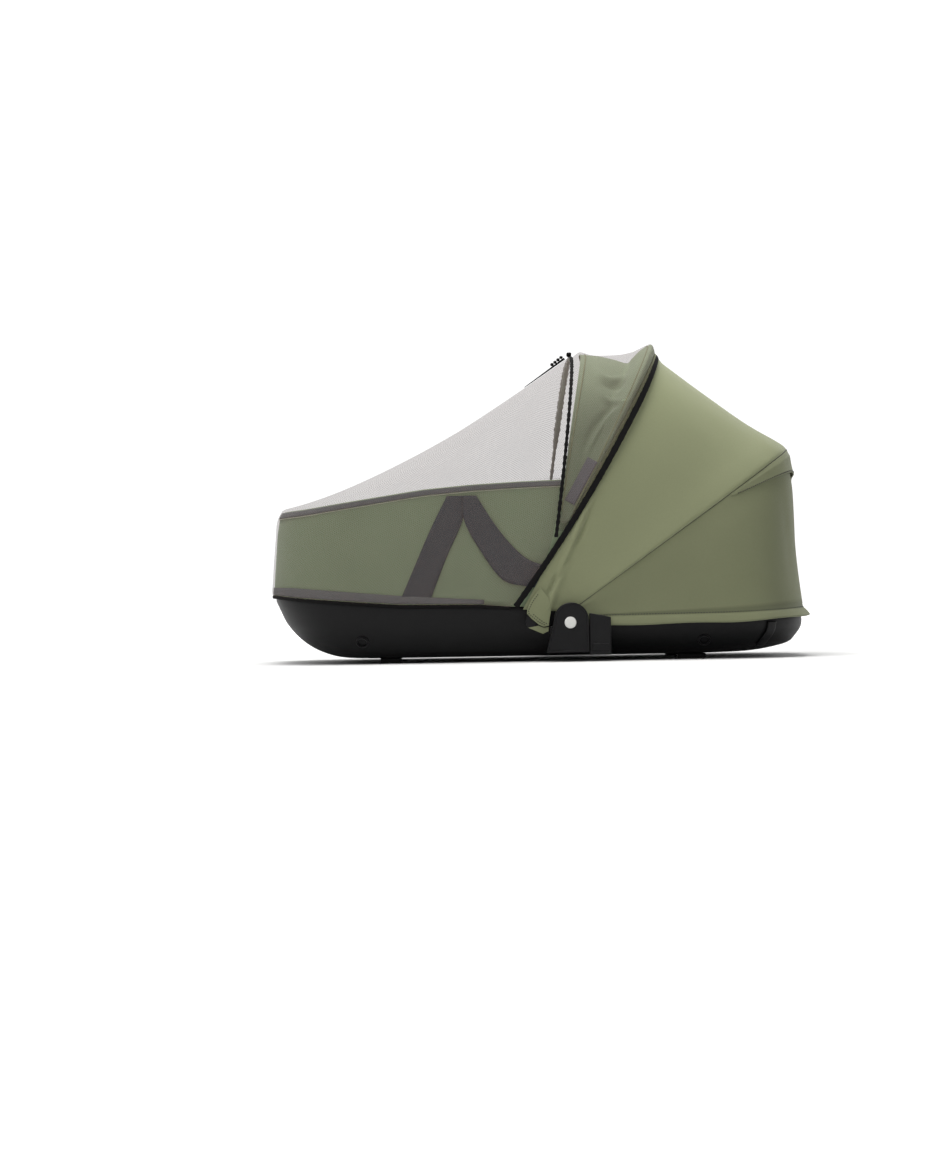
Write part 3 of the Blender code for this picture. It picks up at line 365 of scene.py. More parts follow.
@dataclass(frozen=True)
class MosquitoMesh:
    """A fine knitted mesh: threads round small six-sided holes."""

    name: str = "mosquito_mesh"
    thread: tuple[float, float, float] = (0.086, 0.057, 0.048)
    pitch: float = 0.0026
    cover: float = 0.285
    contrast: float = 0.054

    def build(self) -> bpy.types.Material:
        """Returns the material, whose holes are in its alpha."""
        graph = Graph(self.name)
        along, across = graph.along_cloth()
        lean = math.sqrt(3) / 2
        quarter = self.pitch / 4
        first = (along + quarter).wave(self.pitch)
        second = (across * lean - along * 0.5 + quarter).wave(self.pitch)
        third = (across * lean + along * 0.5 - quarter * 3).wave(self.pitch) * -1.0
        holes = first + second + third
        uneven = graph.noise(11.0, 2.0) * 0.05 - 0.025
        cover = (self.cover + uneven - holes * self.contrast).held(0.05, 0.70)
        tone = graph.noise(60.0, 2.0)
        lighter = tuple(c * 1.35 for c in self.thread)
        graph.surface(
            Base_Color=graph.blend(tone, self.thread, lighter),
            Roughness=0.75,
            Specular_IOR_Level=0.2,
            Alpha=cover,
        )
        return graph.material


@dataclass(frozen=True)
class GatheredElastic:
    """Black elastic binding, gathered into short ribs across its length."""

    name: str = "black_gathered_elastic"
    colour: tuple[float, float, float] = (0.0032, 0.0031, 0.0032)
    worn: tuple[float, float, float] = (0.0085, 0.0080, 0.0080)
    # The seam binding's pale inner face: partly a grey inner tape, partly painted light.
    lining: tuple[float, float, float] = (0.60, 0.59, 0.58)

    def build(self) -> bpy.types.Material:
        """Returns the material, ribbed along its length."""
        graph = Graph(self.name)
        along, across = graph.along_cloth()
        ribs = along.wave(0.0017) * 0.5 + 0.5
        fluff = graph.noise(500.0, 3.0)
        tone = (ribs * 0.25 + fluff * 0.4 + across.wave(0.0012) * 0.1).held()
        graph.surface(
            # Where the stored shade is below 1, the pale inner face is mixed in.
            Base_Color=graph.blend(graph.stored("shade"), self.lining, graph.blend(tone, self.colour, self.worn)),
            Roughness=0.85,
            Specular_IOR_Level=0.10,
            Normal=graph.bump(ribs * 0.7 + fluff * 0.5, 0.6, 0.0005),
        )
        return graph.material


@dataclass(frozen=True)
class Webbing:
    """Flat grey webbing with ribs along its length."""

    name: str
    colour: tuple[float, float, float]
    light: tuple[float, float, float]
    pitch: float = 0.0019

    def build(self) -> bpy.types.Material:
        """Returns the material, with its ribs and picks."""
        graph = Graph(self.name)
        along, across = graph.along_cloth()
        ribs = across.wave(self.pitch) * 0.5 + 0.5
        picks = along.wave(self.pitch * 0.6) * 0.5 + 0.5
        fluff = graph.noise(90.0, 2.0)
        tone = (ribs * 0.3 + picks * 0.2 + fluff * 0.4).held()
        graph.surface(
            Base_Color=graph.blend(tone, self.colour, self.light),
            Roughness=0.84,
            Specular_IOR_Level=0.25,
            Normal=graph.bump(ribs * picks + fluff * 0.3, 0.5, 0.0004),
        )
        return graph.material


@dataclass(frozen=True)
class Moulding:
    """Moulded plastic or rubber with a fine spark-eroded grain."""

    name: str
    colour: tuple[float, float, float]
    scuffed: tuple[float, float, float]
    roughness: float = 0.42
    grain: float = 1500.0
    relief: float = 0.18
    coat: float = 0.0
    shine: float = 0.16

    def build(self) -> bpy.types.Material:
        """Returns the material, with its grain and faint rubbing."""
        graph = Graph(self.name)
        grain = graph.noise(self.grain, 2.0)
        rubbing = graph.noise(34.0, 4.0)
        dust = (rubbing * 1.6 - 0.72).held()
        graph.surface(
            Base_Color=graph.blend(dust, self.colour, self.scuffed),
            Roughness=(self.roughness + rubbing * 0.14 - 0.07).held(),
            Coat_Weight=self.coat,
            Specular_IOR_Level=self.shine,
            Normal=graph.bump(grain, self.relief, 0.0002),
        )
        return graph.material


@dataclass(frozen=True)
class Thread:
    """Sewing thread."""

    name: str
    colour: tuple[float, float, float]

    def build(self) -> bpy.types.Material:
        """Returns the material, with its twist."""
        graph = Graph(self.name)
        twist = graph.noise(2600.0, 1.0)
        lighter = tuple(min(c * 1.6, 1.0) for c in self.colour)
        graph.surface(
            Base_Color=graph.blend(twist, self.colour, lighter),
            Roughness=0.6,
            Normal=graph.bump(twist, 0.3, 0.0001),
        )
        return graph.material


class Palette:
    """Every finish, built once."""

    def __init__(self) -> None:
        """Builds the materials."""
        self.mesh = MosquitoMesh().build()
        self.elastic = GatheredElastic().build()
        self.hood = HoodCloth("olive_hood_cloth", (0.196, 0.210, 0.120), (0.150, 0.163, 0.090)).build()
        self.visor = HoodCloth("olive_visor_cloth", (0.232, 0.278, 0.184), (0.186, 0.228, 0.146)).build()
        self.tub = HoodCloth("olive_tub_cloth", (0.224, 0.278, 0.176), (0.174, 0.221, 0.136)).build()
        self.webbing = Webbing("grey_webbing", (0.042, 0.052, 0.060), (0.054, 0.064, 0.072)).build()
        self.band = Webbing("grey_edge_band", (0.105, 0.112, 0.114), (0.135, 0.142, 0.144)).build()
        self.label = Webbing("grey_bare_patch", (0.104, 0.106, 0.114), (0.124, 0.125, 0.134), 0.0012).build()
        self.plastic = Moulding("black_base_moulding", (0.0040, 0.0040, 0.0043), (0.0068, 0.0068, 0.0072), 0.46).build()
        self.hinge = Moulding(
            "black_hinge_moulding", (0.0055, 0.0055, 0.0060), (0.0100, 0.0100, 0.0105), 0.34, 900.0
        ).build()
        self.rubber = Moulding(
            "black_foot_rubber", (0.010, 0.010, 0.010), (0.020, 0.020, 0.020), 0.72, 700.0, 0.3
        ).build()
        self.cap = Moulding("white_cap_plastic", (0.60, 0.60, 0.575), (0.54, 0.54, 0.515), 0.3, 900.0, 0.05).build()
        self.thread = Thread("dark_olive_thread", (0.020, 0.021, 0.012)).build()
        # Painted highlight: this pale colour of the cord along the rim band's lower edge stands for the light on the
        # edge fold.
        self.pale_edge_highlight = Thread("pale_olive_thread", (0.33, 0.34, 0.26)).build()
        self.cord = Thread("grey_pull_cord", (0.30, 0.29, 0.29)).build()


# Lines and grids


def line_z(line: Sequence[Knot], x: np.ndarray | float) -> np.ndarray:
    """Height of a line at x."""
    return np.interp(x, [k.x for k in line], [k.z for k in line])


def even(count: int) -> np.ndarray:
    """Shares from 0 to 1 in equal steps."""
    return np.linspace(0.0, 1.0, count + 1)


def smooth(value: np.ndarray | float) -> np.ndarray:
    """A soft step from 0 to 1."""
    value = np.clip(value, 0.0, 1.0)
    return value * value * (3 - 2 * value)


def unit(vectors: np.ndarray) -> np.ndarray:
    """Vectors of length one."""
    return vectors / np.maximum(np.linalg.norm(vectors, axis=-1, keepdims=True), 1e-12)


def lengths(points: np.ndarray) -> np.ndarray:
    """The distance along a polyline at each of its points."""
    steps = np.linalg.norm(np.diff(points, axis=0), axis=1)
    return np.concatenate([[0.0], np.cumsum(steps)])


def resample(points: np.ndarray, shares: np.ndarray, values: np.ndarray | None = None) -> np.ndarray:
    """Points, or values that belong to them, at shares of a polyline's length.

    Args:
        points: the polyline.
        shares: where to read it, from 0 to 1.
        values: what to read instead of the points.

    Returns:
        One row for each share.
    """
    along = lengths(points)
    values = points if values is None else values
    at = np.asarray(shares) * along[-1]
    return np.stack([np.interp(at, along, values[:, k]) for k in range(values.shape[1])], axis=1)


def curve_through(points: np.ndarray, count: int) -> np.ndarray:
    """A smooth curve through points, with a number of steps between each pair."""
    points = np.asarray(points, float)
    ends = np.concatenate([[2 * points[0] - points[1]], points, [2 * points[-1] - points[-2]]])
    steps = np.arange(count) / count
    pieces = []
    for k in range(len(points) - 1):
        a, b, c, d = ends[k : k + 4]
        t = steps.reshape(-1, *([1] * a.ndim))
        pieces.append(
            0.5 * (2 * b + (c - a) * t + (2 * a - 5 * b + 4 * c - d) * t**2 + (3 * b - a - 3 * c + d) * t**3)
        )
    pieces.append(points[-1:])
    return np.concatenate(pieces)


def refined(grid: np.ndarray, rows: int, columns: int) -> np.ndarray:
    """A grid made finer along both ways, through the same points."""
    finer = curve_through(grid, rows)
    return np.swapaxes(curve_through(np.swapaxes(finer, 0, 1), columns), 0, 1)


def arch_at(arch: Arch, height: float, side: float) -> np.ndarray:
    """The point of an arch at a height, on one side."""
    share = min(max((height - arch.base_z) / (arch.crown_z - arch.base_z), 0.0), 1.0)
    x = arch.base_x + (arch.crown_x - arch.base_x) * share + 4 * arch.bulge * share * (1 - share)
    spread = (1 - share**arch.squareness) ** (1 / arch.squareness)
    return np.array([x, side * arch.half_width * spread, height])


def arch_line(arch: Arch, start_z: float, shift: float = 0.0) -> np.ndarray:
    """The arch as a fine polyline from the near side over the crown to the far side."""
    points = [arch_at(arch, start_z, -1.0)]
    for turn in np.linspace(-math.pi / 2, math.pi / 2, 481):
        share = max(math.cos(turn), 0.0) ** (2 / arch.squareness)
        height = arch.base_z + (arch.crown_z - arch.base_z) * share
        if height > start_z:
            points.append(arch_at(arch, height, math.copysign(1.0, turn)))
    points.append(arch_at(arch, start_z, 1.0))
    return np.array(points) + np.array([shift, 0.0, 0.0])


def crown_weights(count: int, start: float = 0.10, end: float = 0.38) -> np.ndarray:
    """How near each evenly spaced point of an arch is to its crown, from 0 to 1."""
    shares = np.linspace(0.0, 1.0, count)
    return smooth((np.minimum(shares, 1 - shares) - start) / (end - start))


def across_panel(first: np.ndarray, last: np.ndarray, rows: Sequence[Row]) -> np.ndarray:
    """A grid from one arch to another, raised or sunk by the rows of a table."""
    weight = crown_weights(len(first))
    taper = crown_weights(len(first), 0.0, 0.12)
    grid = []
    for row in rows:
        line = first + (last - first) * row.share
        out = line * np.array([0.0, 1.0, 1.0]) - UP * 0.24
        out[:, 2] = np.maximum(out[:, 2], 0.0)
        lift = (row.side + (row.crown - row.side) * weight) * taper
        grid.append(line + unit(out) * lift[:, None])
    return np.array(grid)


def arch_normals(line: np.ndarray, lean: float = 0.0) -> np.ndarray:
    """Outward normals of an arch's band, which may lean to the rear at the crown."""
    tangent = unit(np.gradient(line, axis=0))
    forward = np.array([1.0, 0.0, 0.0]) - tangent * tangent[:, :1]
    normal = unit(np.cross(tangent, forward))
    normal *= np.sign(((line - UP * 0.1) * normal).sum(axis=1))[:, None]
    top = crown_weights(len(line), 0.26, 0.44)[:, None]
    return unit(normal + lean * top * np.array([1.0, 0.0, 0.0]))


def beside(line: np.ndarray, normal: np.ndarray, distance: float) -> np.ndarray:
    """A line moved sideways in its cloth, to the foot end where the distance is over 0."""
    across = unit(np.cross(normal, unit(np.gradient(line, axis=0))))
    return line - across * np.sign(across[:, :1]) * distance


def bowed_end(x: float, y: float, end_x: float, half_width: float, end: int) -> tuple:
    """A point near an end of the plan, which is bowed out in its middle."""
    near_end = max(1.0 - abs(x - end_x) / FOOT_CORNER, 0.0)
    return (x - end * END_BOW * (y / half_width) ** 2 * near_end, y)


def u_line(start_x: float, foot_x: float, half_width: float, radius: float) -> np.ndarray:
    """A U in plan: along the near side, round the foot end and back on the far side."""
    halves = []
    for side in (-1, 1):
        arc = []
        for step in range(31):
            turn = math.radians(step * 3.0)
            x = foot_x + radius * (1 - math.sin(turn))
            y = side * (half_width - radius + radius * math.cos(turn))
            arc.append(bowed_end(x, y, foot_x, half_width, -1))
        flat = side * (half_width - radius)
        end = [bowed_end(foot_x, flat * k / 8, foot_x, half_width, -1) for k in range(7, 0, -1)]
        halves.append(arc + end)
    near, far = halves
    points = [(start_x, -half_width), *near, (foot_x, 0.0), *far[::-1], (start_x, half_width)]
    flat_line = np.zeros((len(points), 3))
    flat_line[:, :2] = points
    return flat_line


def plan_ring(level: Level, z_of=None, fine: int = 14) -> np.ndarray:
    """A closed ring round the carrycot at one level.

    Args:
        level: its ends and half width.
        z_of: gives the height at x, where the ring isn't level.
        fine: steps round each corner.

    Returns:
        The ring's points.
    """
    foot_r = max(FOOT_CORNER - (TUB_HALF_WIDTH - level.half_width), 0.03)
    head_r = max(HEAD_CORNER - (TUB_HALF_WIDTH - level.half_width), 0.03)
    ring: list[tuple] = []
    for end, side in ((1, -1), (1, 1), (-1, 1), (-1, -1)):
        radius = head_r if end > 0 else foot_r
        end_x = level.head_x if end > 0 else level.foot_x
        arc = []
        for step in range(fine + 1):
            turn = math.radians(90.0 * step / fine)
            x = end_x - end * radius * (1 - math.sin(turn))
            y = side * (level.half_width - radius + radius * math.cos(turn))
            arc.append((x, y))
        flat = side * (level.half_width - radius)
        straight = [(end_x, flat * (1 - k / 6)) for k in range(1, 6)]
        half = arc + straight if end * side < 0 else straight[::-1] + arc[::-1]
        if end * side < 0:
            half.append((end_x, 0.0))
        ring += [bowed_end(x, y, end_x, level.half_width, end) for x, y in half]
        if end * side > 0:
            other = level.foot_x + foot_r if end > 0 else level.head_x - head_r
            start = ring[-1]
            sides = 2 * fine + 4
            ring += [(start[0] + (other - start[0]) * k / sides, start[1]) for k in range(1, sides)]
    return np.array([(x, y, float(z_of(x)) if z_of else level.z) for x, y in ring])


def wall_x(height: float) -> float:
    """The foot end of the tub wall at a height."""
    rounded = FOOT_ROUND * max(height - FOOT_ROUND_Z, 0.0) ** 2
    return TUB_FOOT_X + FOOT_LEAN * (height - LEAN_FROM_Z) + rounded


def wall_ring(offset: float, z_of) -> np.ndarray:
    """A ring on the tub wall, drawn in by an offset; the foot end leans with its height."""
    foot = wall_x(float(z_of(TUB_FOOT_X))) + offset
    return plan_ring(Level(0.0, foot, TUB_HEAD_X - offset, TUB_HALF_WIDTH - offset), z_of)


def rim(drop: float):
    """The line at a depth below the rim."""
    return lambda x: line_z(RIM_LINE, x) - drop


def lip(lift: float):
    """The line at a height over the lip of the base."""
    return lambda x: line_z(HEM_LINE, x) - 0.0010 + lift


def low_band(share: float):
    """The line at a share of the way from the lower band's top to the lip of the base."""
    return lambda x: (1 - share) * line_z(LOWER_BAND_TOP, x) + share * (line_z(HEM_LINE, x) + 0.0006)


def grid_normals(grid: np.ndarray) -> np.ndarray:
    """Normals of a grid, pointing away from the middle of the carrycot."""
    normal = unit(np.cross(np.gradient(grid, axis=1), np.gradient(grid, axis=0)))
    away = (grid - np.array([0.0, 0.0, 0.12])) * normal
    return normal if np.median(away.sum(axis=2)) > 0 else -normal


def creased(grid: np.ndarray, creases: Sequence[Crease]) -> np.ndarray:
    """A grid with soft folds pressed into it, or raised on it."""
    normal = grid_normals(grid)
    lift = np.zeros(grid.shape[:2])
    for crease in creases:
        route = curve_through(np.array(crease.route), 8)
        flat = grid[:, :, [0, 2]]
        away = np.linalg.norm(flat[:, :, None, :] - route[None, None], axis=3)
        nearest = away.argmin(axis=2)
        share = nearest / (len(route) - 1)
        fade = np.sin(np.pi * np.clip(share * 0.9 + 0.05, 0, 1)) ** 0.6
        mine = grid[:, :, 1] * crease.side.value > 0
        lift += crease.depth * np.exp(-((away.min(axis=2) / crease.width) ** 2)) * fade * mine
    return grid + normal * lift[:, :, None]


# Meshes


def object_of(name: str, points: np.ndarray, faces: list, material: bpy.types.Material) -> bpy.types.Object:
    """Makes a piece that rides on the carrycot.

    Args:
        name: the piece's name.
        points: its vertices.
        faces: its faces.
        material: its finish.

    Returns:
        The object, shaded smooth.
    """
    mesh = bpy.data.meshes.new(name)
    mesh.from_pydata(np.asarray(points, float).tolist(), [], faces)
    mesh.shade_smooth()
    mesh.materials.append(material)
    piece = bpy.data.objects.new(name, mesh)
    bpy.context.scene.collection.objects.link(piece)
    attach(piece, BODY)
    LOG.info("%s: %d faces", name, len(faces))
    return piece


def store(piece: bpy.types.Object, cloth: np.ndarray, shade: np.ndarray | None = None) -> None:
    """Stores the distances along the cloth and its shade on a piece's points."""
    mesh = piece.data
    flat = mesh.attributes.new("cloth", "FLOAT_VECTOR", "POINT")
    full = np.zeros((len(mesh.vertices), 3), np.float32)
    full[:, : cloth.shape[1]] = cloth
    flat.data.foreach_set("vector", full.ravel())
    dim = mesh.attributes.new("shade", "FLOAT", "POINT")
    values = np.ones(len(mesh.vertices)) if shade is None else shade.ravel()
    dim.data.foreach_set("value", values.astype(np.float32))


def grid_faces(rows: int, columns: int, closed: bool = False) -> list[tuple]:
    """Faces of a grid, which may be closed round its columns."""
    faces = []
    for row in range(rows - 1):
        for column in range(columns if closed else columns - 1):
            after = (column + 1) % columns
            low, high = row * columns, (row + 1) * columns
            faces.append((low + column, low + after, high + after, high + column))
    return faces


def cloth_map(grid: np.ndarray) -> np.ndarray:
    """Distances along the cloth, in metres, of each of a grid's points."""
    along = np.cumsum(np.linalg.norm(np.diff(grid, axis=1, prepend=grid[:, :1]), axis=2), axis=1)
    down = np.cumsum(np.linalg.norm(np.diff(grid, axis=0, prepend=grid[:1]), axis=2), axis=0)
    middle = along[len(grid) // 2]
    return np.stack([np.broadcast_to(middle, along.shape), down], axis=2).reshape(-1, 2)


def grid_area(grid: np.ndarray) -> float:
    """The area of a grid, in square metres."""
    first = grid[1:, 1:] - grid[:-1, :-1]
    second = grid[1:, :-1] - grid[:-1, 1:]
    return float(np.linalg.norm(np.cross(first, second), axis=2).sum() / 2)


def sheet(
    name: str,
    grid: np.ndarray,
    material: bpy.types.Material,
    thick: float = 0.0,
    shade: np.ndarray | None = None,
) -> bpy.types.Object:
    """Makes a cloth from a grid.

    Args:
        name: the piece's name.
        grid: its points, in rows and columns.
        material: its finish.
        thick: its thickness, or 0 for a mesh that light passes through.
        shade: how light each point is, from 0 to 1.

    Returns:
        The piece.
    """
    outward = grid_normals(grid)
    mine = unit(np.cross(grid[0, 1] - grid[0, 0], grid[1, 0] - grid[0, 0]))
    faces = grid_faces(*grid.shape[:2])
    if (mine * outward[0, 0]).sum() < 0:
        faces = [face[::-1] for face in faces]
    piece = object_of(name, grid.reshape(-1, 3), faces, material)
    store(piece, cloth_map(grid), shade)
    if thick:
        cloth = piece.modifiers.new("Thickness", "SOLIDIFY")
        cloth.thickness = thick
        cloth.offset = 0.0
        cloth.use_rim = True
    LOG.info("%s: %.3f square metres", name, grid_area(grid))
    return piece


def ring_body(
    name: str, rings: Sequence[np.ndarray], material: bpy.types.Material, loop: bool = False
) -> bpy.types.Object:
    """A closed body through rings of equal count; a loop joins the last to the first."""
    count = len(rings[0])
    points = np.concatenate(rings)
    faces = grid_faces(len(rings), count, closed=True)
    last = (len(rings) - 1) * count
    if loop:
        faces += [(last + k, last + (k + 1) % count, (k + 1) % count, k) for k in range(count)]
    else:
        faces += [tuple(range(count))[::-1], tuple(range(last, last + count))]
    piece = object_of(name, points, faces, material)
    shape = bmesh.new()
    shape.from_mesh(piece.data)
    bmesh.ops.recalc_face_normals(shape, faces=shape.faces)
    shape.to_mesh(piece.data)
    shape.free()
    grid = np.array(rings)
    store(piece, cloth_map(grid))
    return piece


def sweep(
    name: str,
    path: np.ndarray,
    normal: np.ndarray,
    size: tuple[float, float],
    material: bpy.types.Material,
    scale: np.ndarray | None = None,
    sides: int = 14,
    squareness: float = 1.0,
    inside: np.ndarray | None = None,
) -> bpy.types.Object:
    """A band of rounded section along a path.

    Args:
        name: the piece's name.
        path: its middle line.
        normal: which way its flat face looks at each point.
        size: its width and thickness.
        material: its finish.
        scale: its size at each point, over its named size.
        sides: corners of its section.
        squareness: 1 for an oval section, less for a squarer one.
        inside: the shade of its inner face at each point.

    Returns:
        The piece.
    """
    tangent = unit(np.gradient(path, axis=0))
    across = unit(np.cross(normal, tangent))
    up = np.cross(tangent, across)
    scale = np.ones((len(path), 2)) if scale is None else scale
    turns = 2 * np.pi * (np.arange(sides) + 0.5) / sides
    wide = np.sign(np.cos(turns)) * np.abs(np.cos(turns)) ** squareness * size[0] / 2
    high = np.sign(np.sin(turns)) * np.abs(np.sin(turns)) ** squareness * size[1] / 2
    rings = [
        path[k] + np.outer(wide * scale[k, 0], across[k]) + np.outer(high * scale[k, 1], up[k])
        for k in range(len(path))
    ]
    piece = ring_body(name, rings, material)
    flat = np.stack(np.broadcast_arrays(lengths(path)[:, None], wide[None, :]), axis=2)
    piece.data.attributes.remove(piece.data.attributes["cloth"])
    piece.data.attributes.remove(piece.data.attributes["shade"])
    shade = np.ones((len(path), sides))
    if inside is not None:
        shade[:, high < 0] = inside[:, None]
    store(piece, flat.reshape(-1, 2), shade)
    return piece


def plate(
    name: str,
    outline: Sequence[tuple],
    depths: tuple[float, float],
    side: Side,
    material: bpy.types.Material,
    bevel: float,
) -> bpy.types.Object:
    """A plate of an outline in the side view, between two depths, with rounded edges."""
    rings = [np.array([(x, side.value * depth, z) for x, z in outline]) for depth in depths]
    piece = ring_body(name, rings, material)
    edge = piece.modifiers.new("Edge", "BEVEL")
    edge.width = bevel
    edge.segments = 3
    edge.limit_method = "ANGLE"
    edge.angle_limit = math.radians(35)
    piece.modifiers.new("Faces", "WEIGHTED_NORMAL").keep_sharp = True
    return piece


def box_outline(low_x: float, high_x: float, low_z: float, high_z: float) -> tuple:
    """The outline of a box in the side view."""
    return ((low_x, low_z), (high_x, low_z), (high_x, high_z), (low_x, high_z))


class Surface:
    """A finished piece that others are laid on."""

    def __init__(self, *pieces: bpy.types.Object) -> None:
        """Makes the search trees of the pieces."""
        bpy.context.view_layer.update()
        graph = bpy.context.evaluated_depsgraph_get()
        self.trees = [BVHTree.FromObject(piece, graph) for piece in pieces]

    def hit(self, start: Sequence[float], aim: Sequence[float]) -> tuple | None:
        """Where a ray first meets the surface.

        Args:
            start: where the ray starts.
            aim: which way it goes.

        Returns:
            The point and the normal towards the start, or None.
        """
        found = None
        for tree in self.trees:
            point, normal, _, reach = tree.ray_cast(Vector(start), Vector(aim).normalized())
            if point is not None and (found is None or reach < found[0]):
                found = (reach, np.array(point), np.array(normal))
        if found is None:
            return None
        return found[1], found[2] * -np.sign(np.dot(found[2], aim))

    def clear(self, line: np.ndarray, normals: np.ndarray, width: float, room: float) -> np.ndarray:
        """A line pushed out along its normals until its band clears the surface."""
        push = np.zeros(len(line))
        for offset in (-0.9, -0.45, 0.0, 0.45, 0.9):
            edge = beside(line, normals, offset * width / 2)
            need = room * math.sqrt(1 - offset**2 * 0.8)
            for k, (point, normal) in enumerate(zip(edge, normals)):
                met = self.hit(point + normal * 0.02, -normal)
                if met is not None:
                    height = 0.02 - np.linalg.norm(met[0] - point - normal * 0.02)
                    push[k] = max(push[k], height + need)
        wide = np.array([push[max(k - 6, 0) : k + 7].max() for k in range(len(push))])
        kernel = np.hanning(15) / np.hanning(15).sum()
        wide = np.convolve(np.pad(wide, 7, mode="edge"), kernel, mode="valid")
        return line + normals * wide[:, None]


def stitches(
    name: str,
    line: np.ndarray,
    normals: np.ndarray,
    material: bpy.types.Material,
    pitch: float = 0.0040,
    size: tuple[float, float] = (0.0026, 0.0017),
) -> bpy.types.Object:
    """A row of sewn stitches along a line.

    Args:
        name: the piece's name.
        line: its route on the cloth.
        normals: the cloth's normals there.
        material: the thread's finish.
        pitch: the distance from stitch to stitch.
        size: a stitch's length and width.

    Returns:
        One object of small closed capsules.
    """
    count = max(int(lengths(line)[-1] / pitch), 2)
    places = resample(line, even(count))
    out = unit(resample(line, even(count), normals))
    ahead = unit(np.gradient(places, axis=0))
    aside = np.cross(out, ahead)
    profile = ((-0.5, 0.25), (-0.3, 1.0), (0.3, 1.0), (0.5, 0.25))
    points, faces = [], []
    for place, normal, forth, across in zip(places, out, ahead, aside):
        start = len(points)
        for share, girth in profile:
            for turn in range(5):
                angle = 2 * math.pi * turn / 5
                around = across * math.cos(angle) + normal * math.sin(angle)
                points.append(place + forth * size[0] * share + around * size[1] / 2 * girth)
        for step in range(3):
            for turn in range(5):
                after = (turn + 1) % 5
                low, high = start + step * 5, start + (step + 1) * 5
                faces.append((low + turn, low + after, high + after, high + turn))
        faces.append(tuple(range(start, start + 5))[::-1])
        faces.append(tuple(range(start + 15, start + 20)))
    return object_of(name, np.array(points), faces, material)


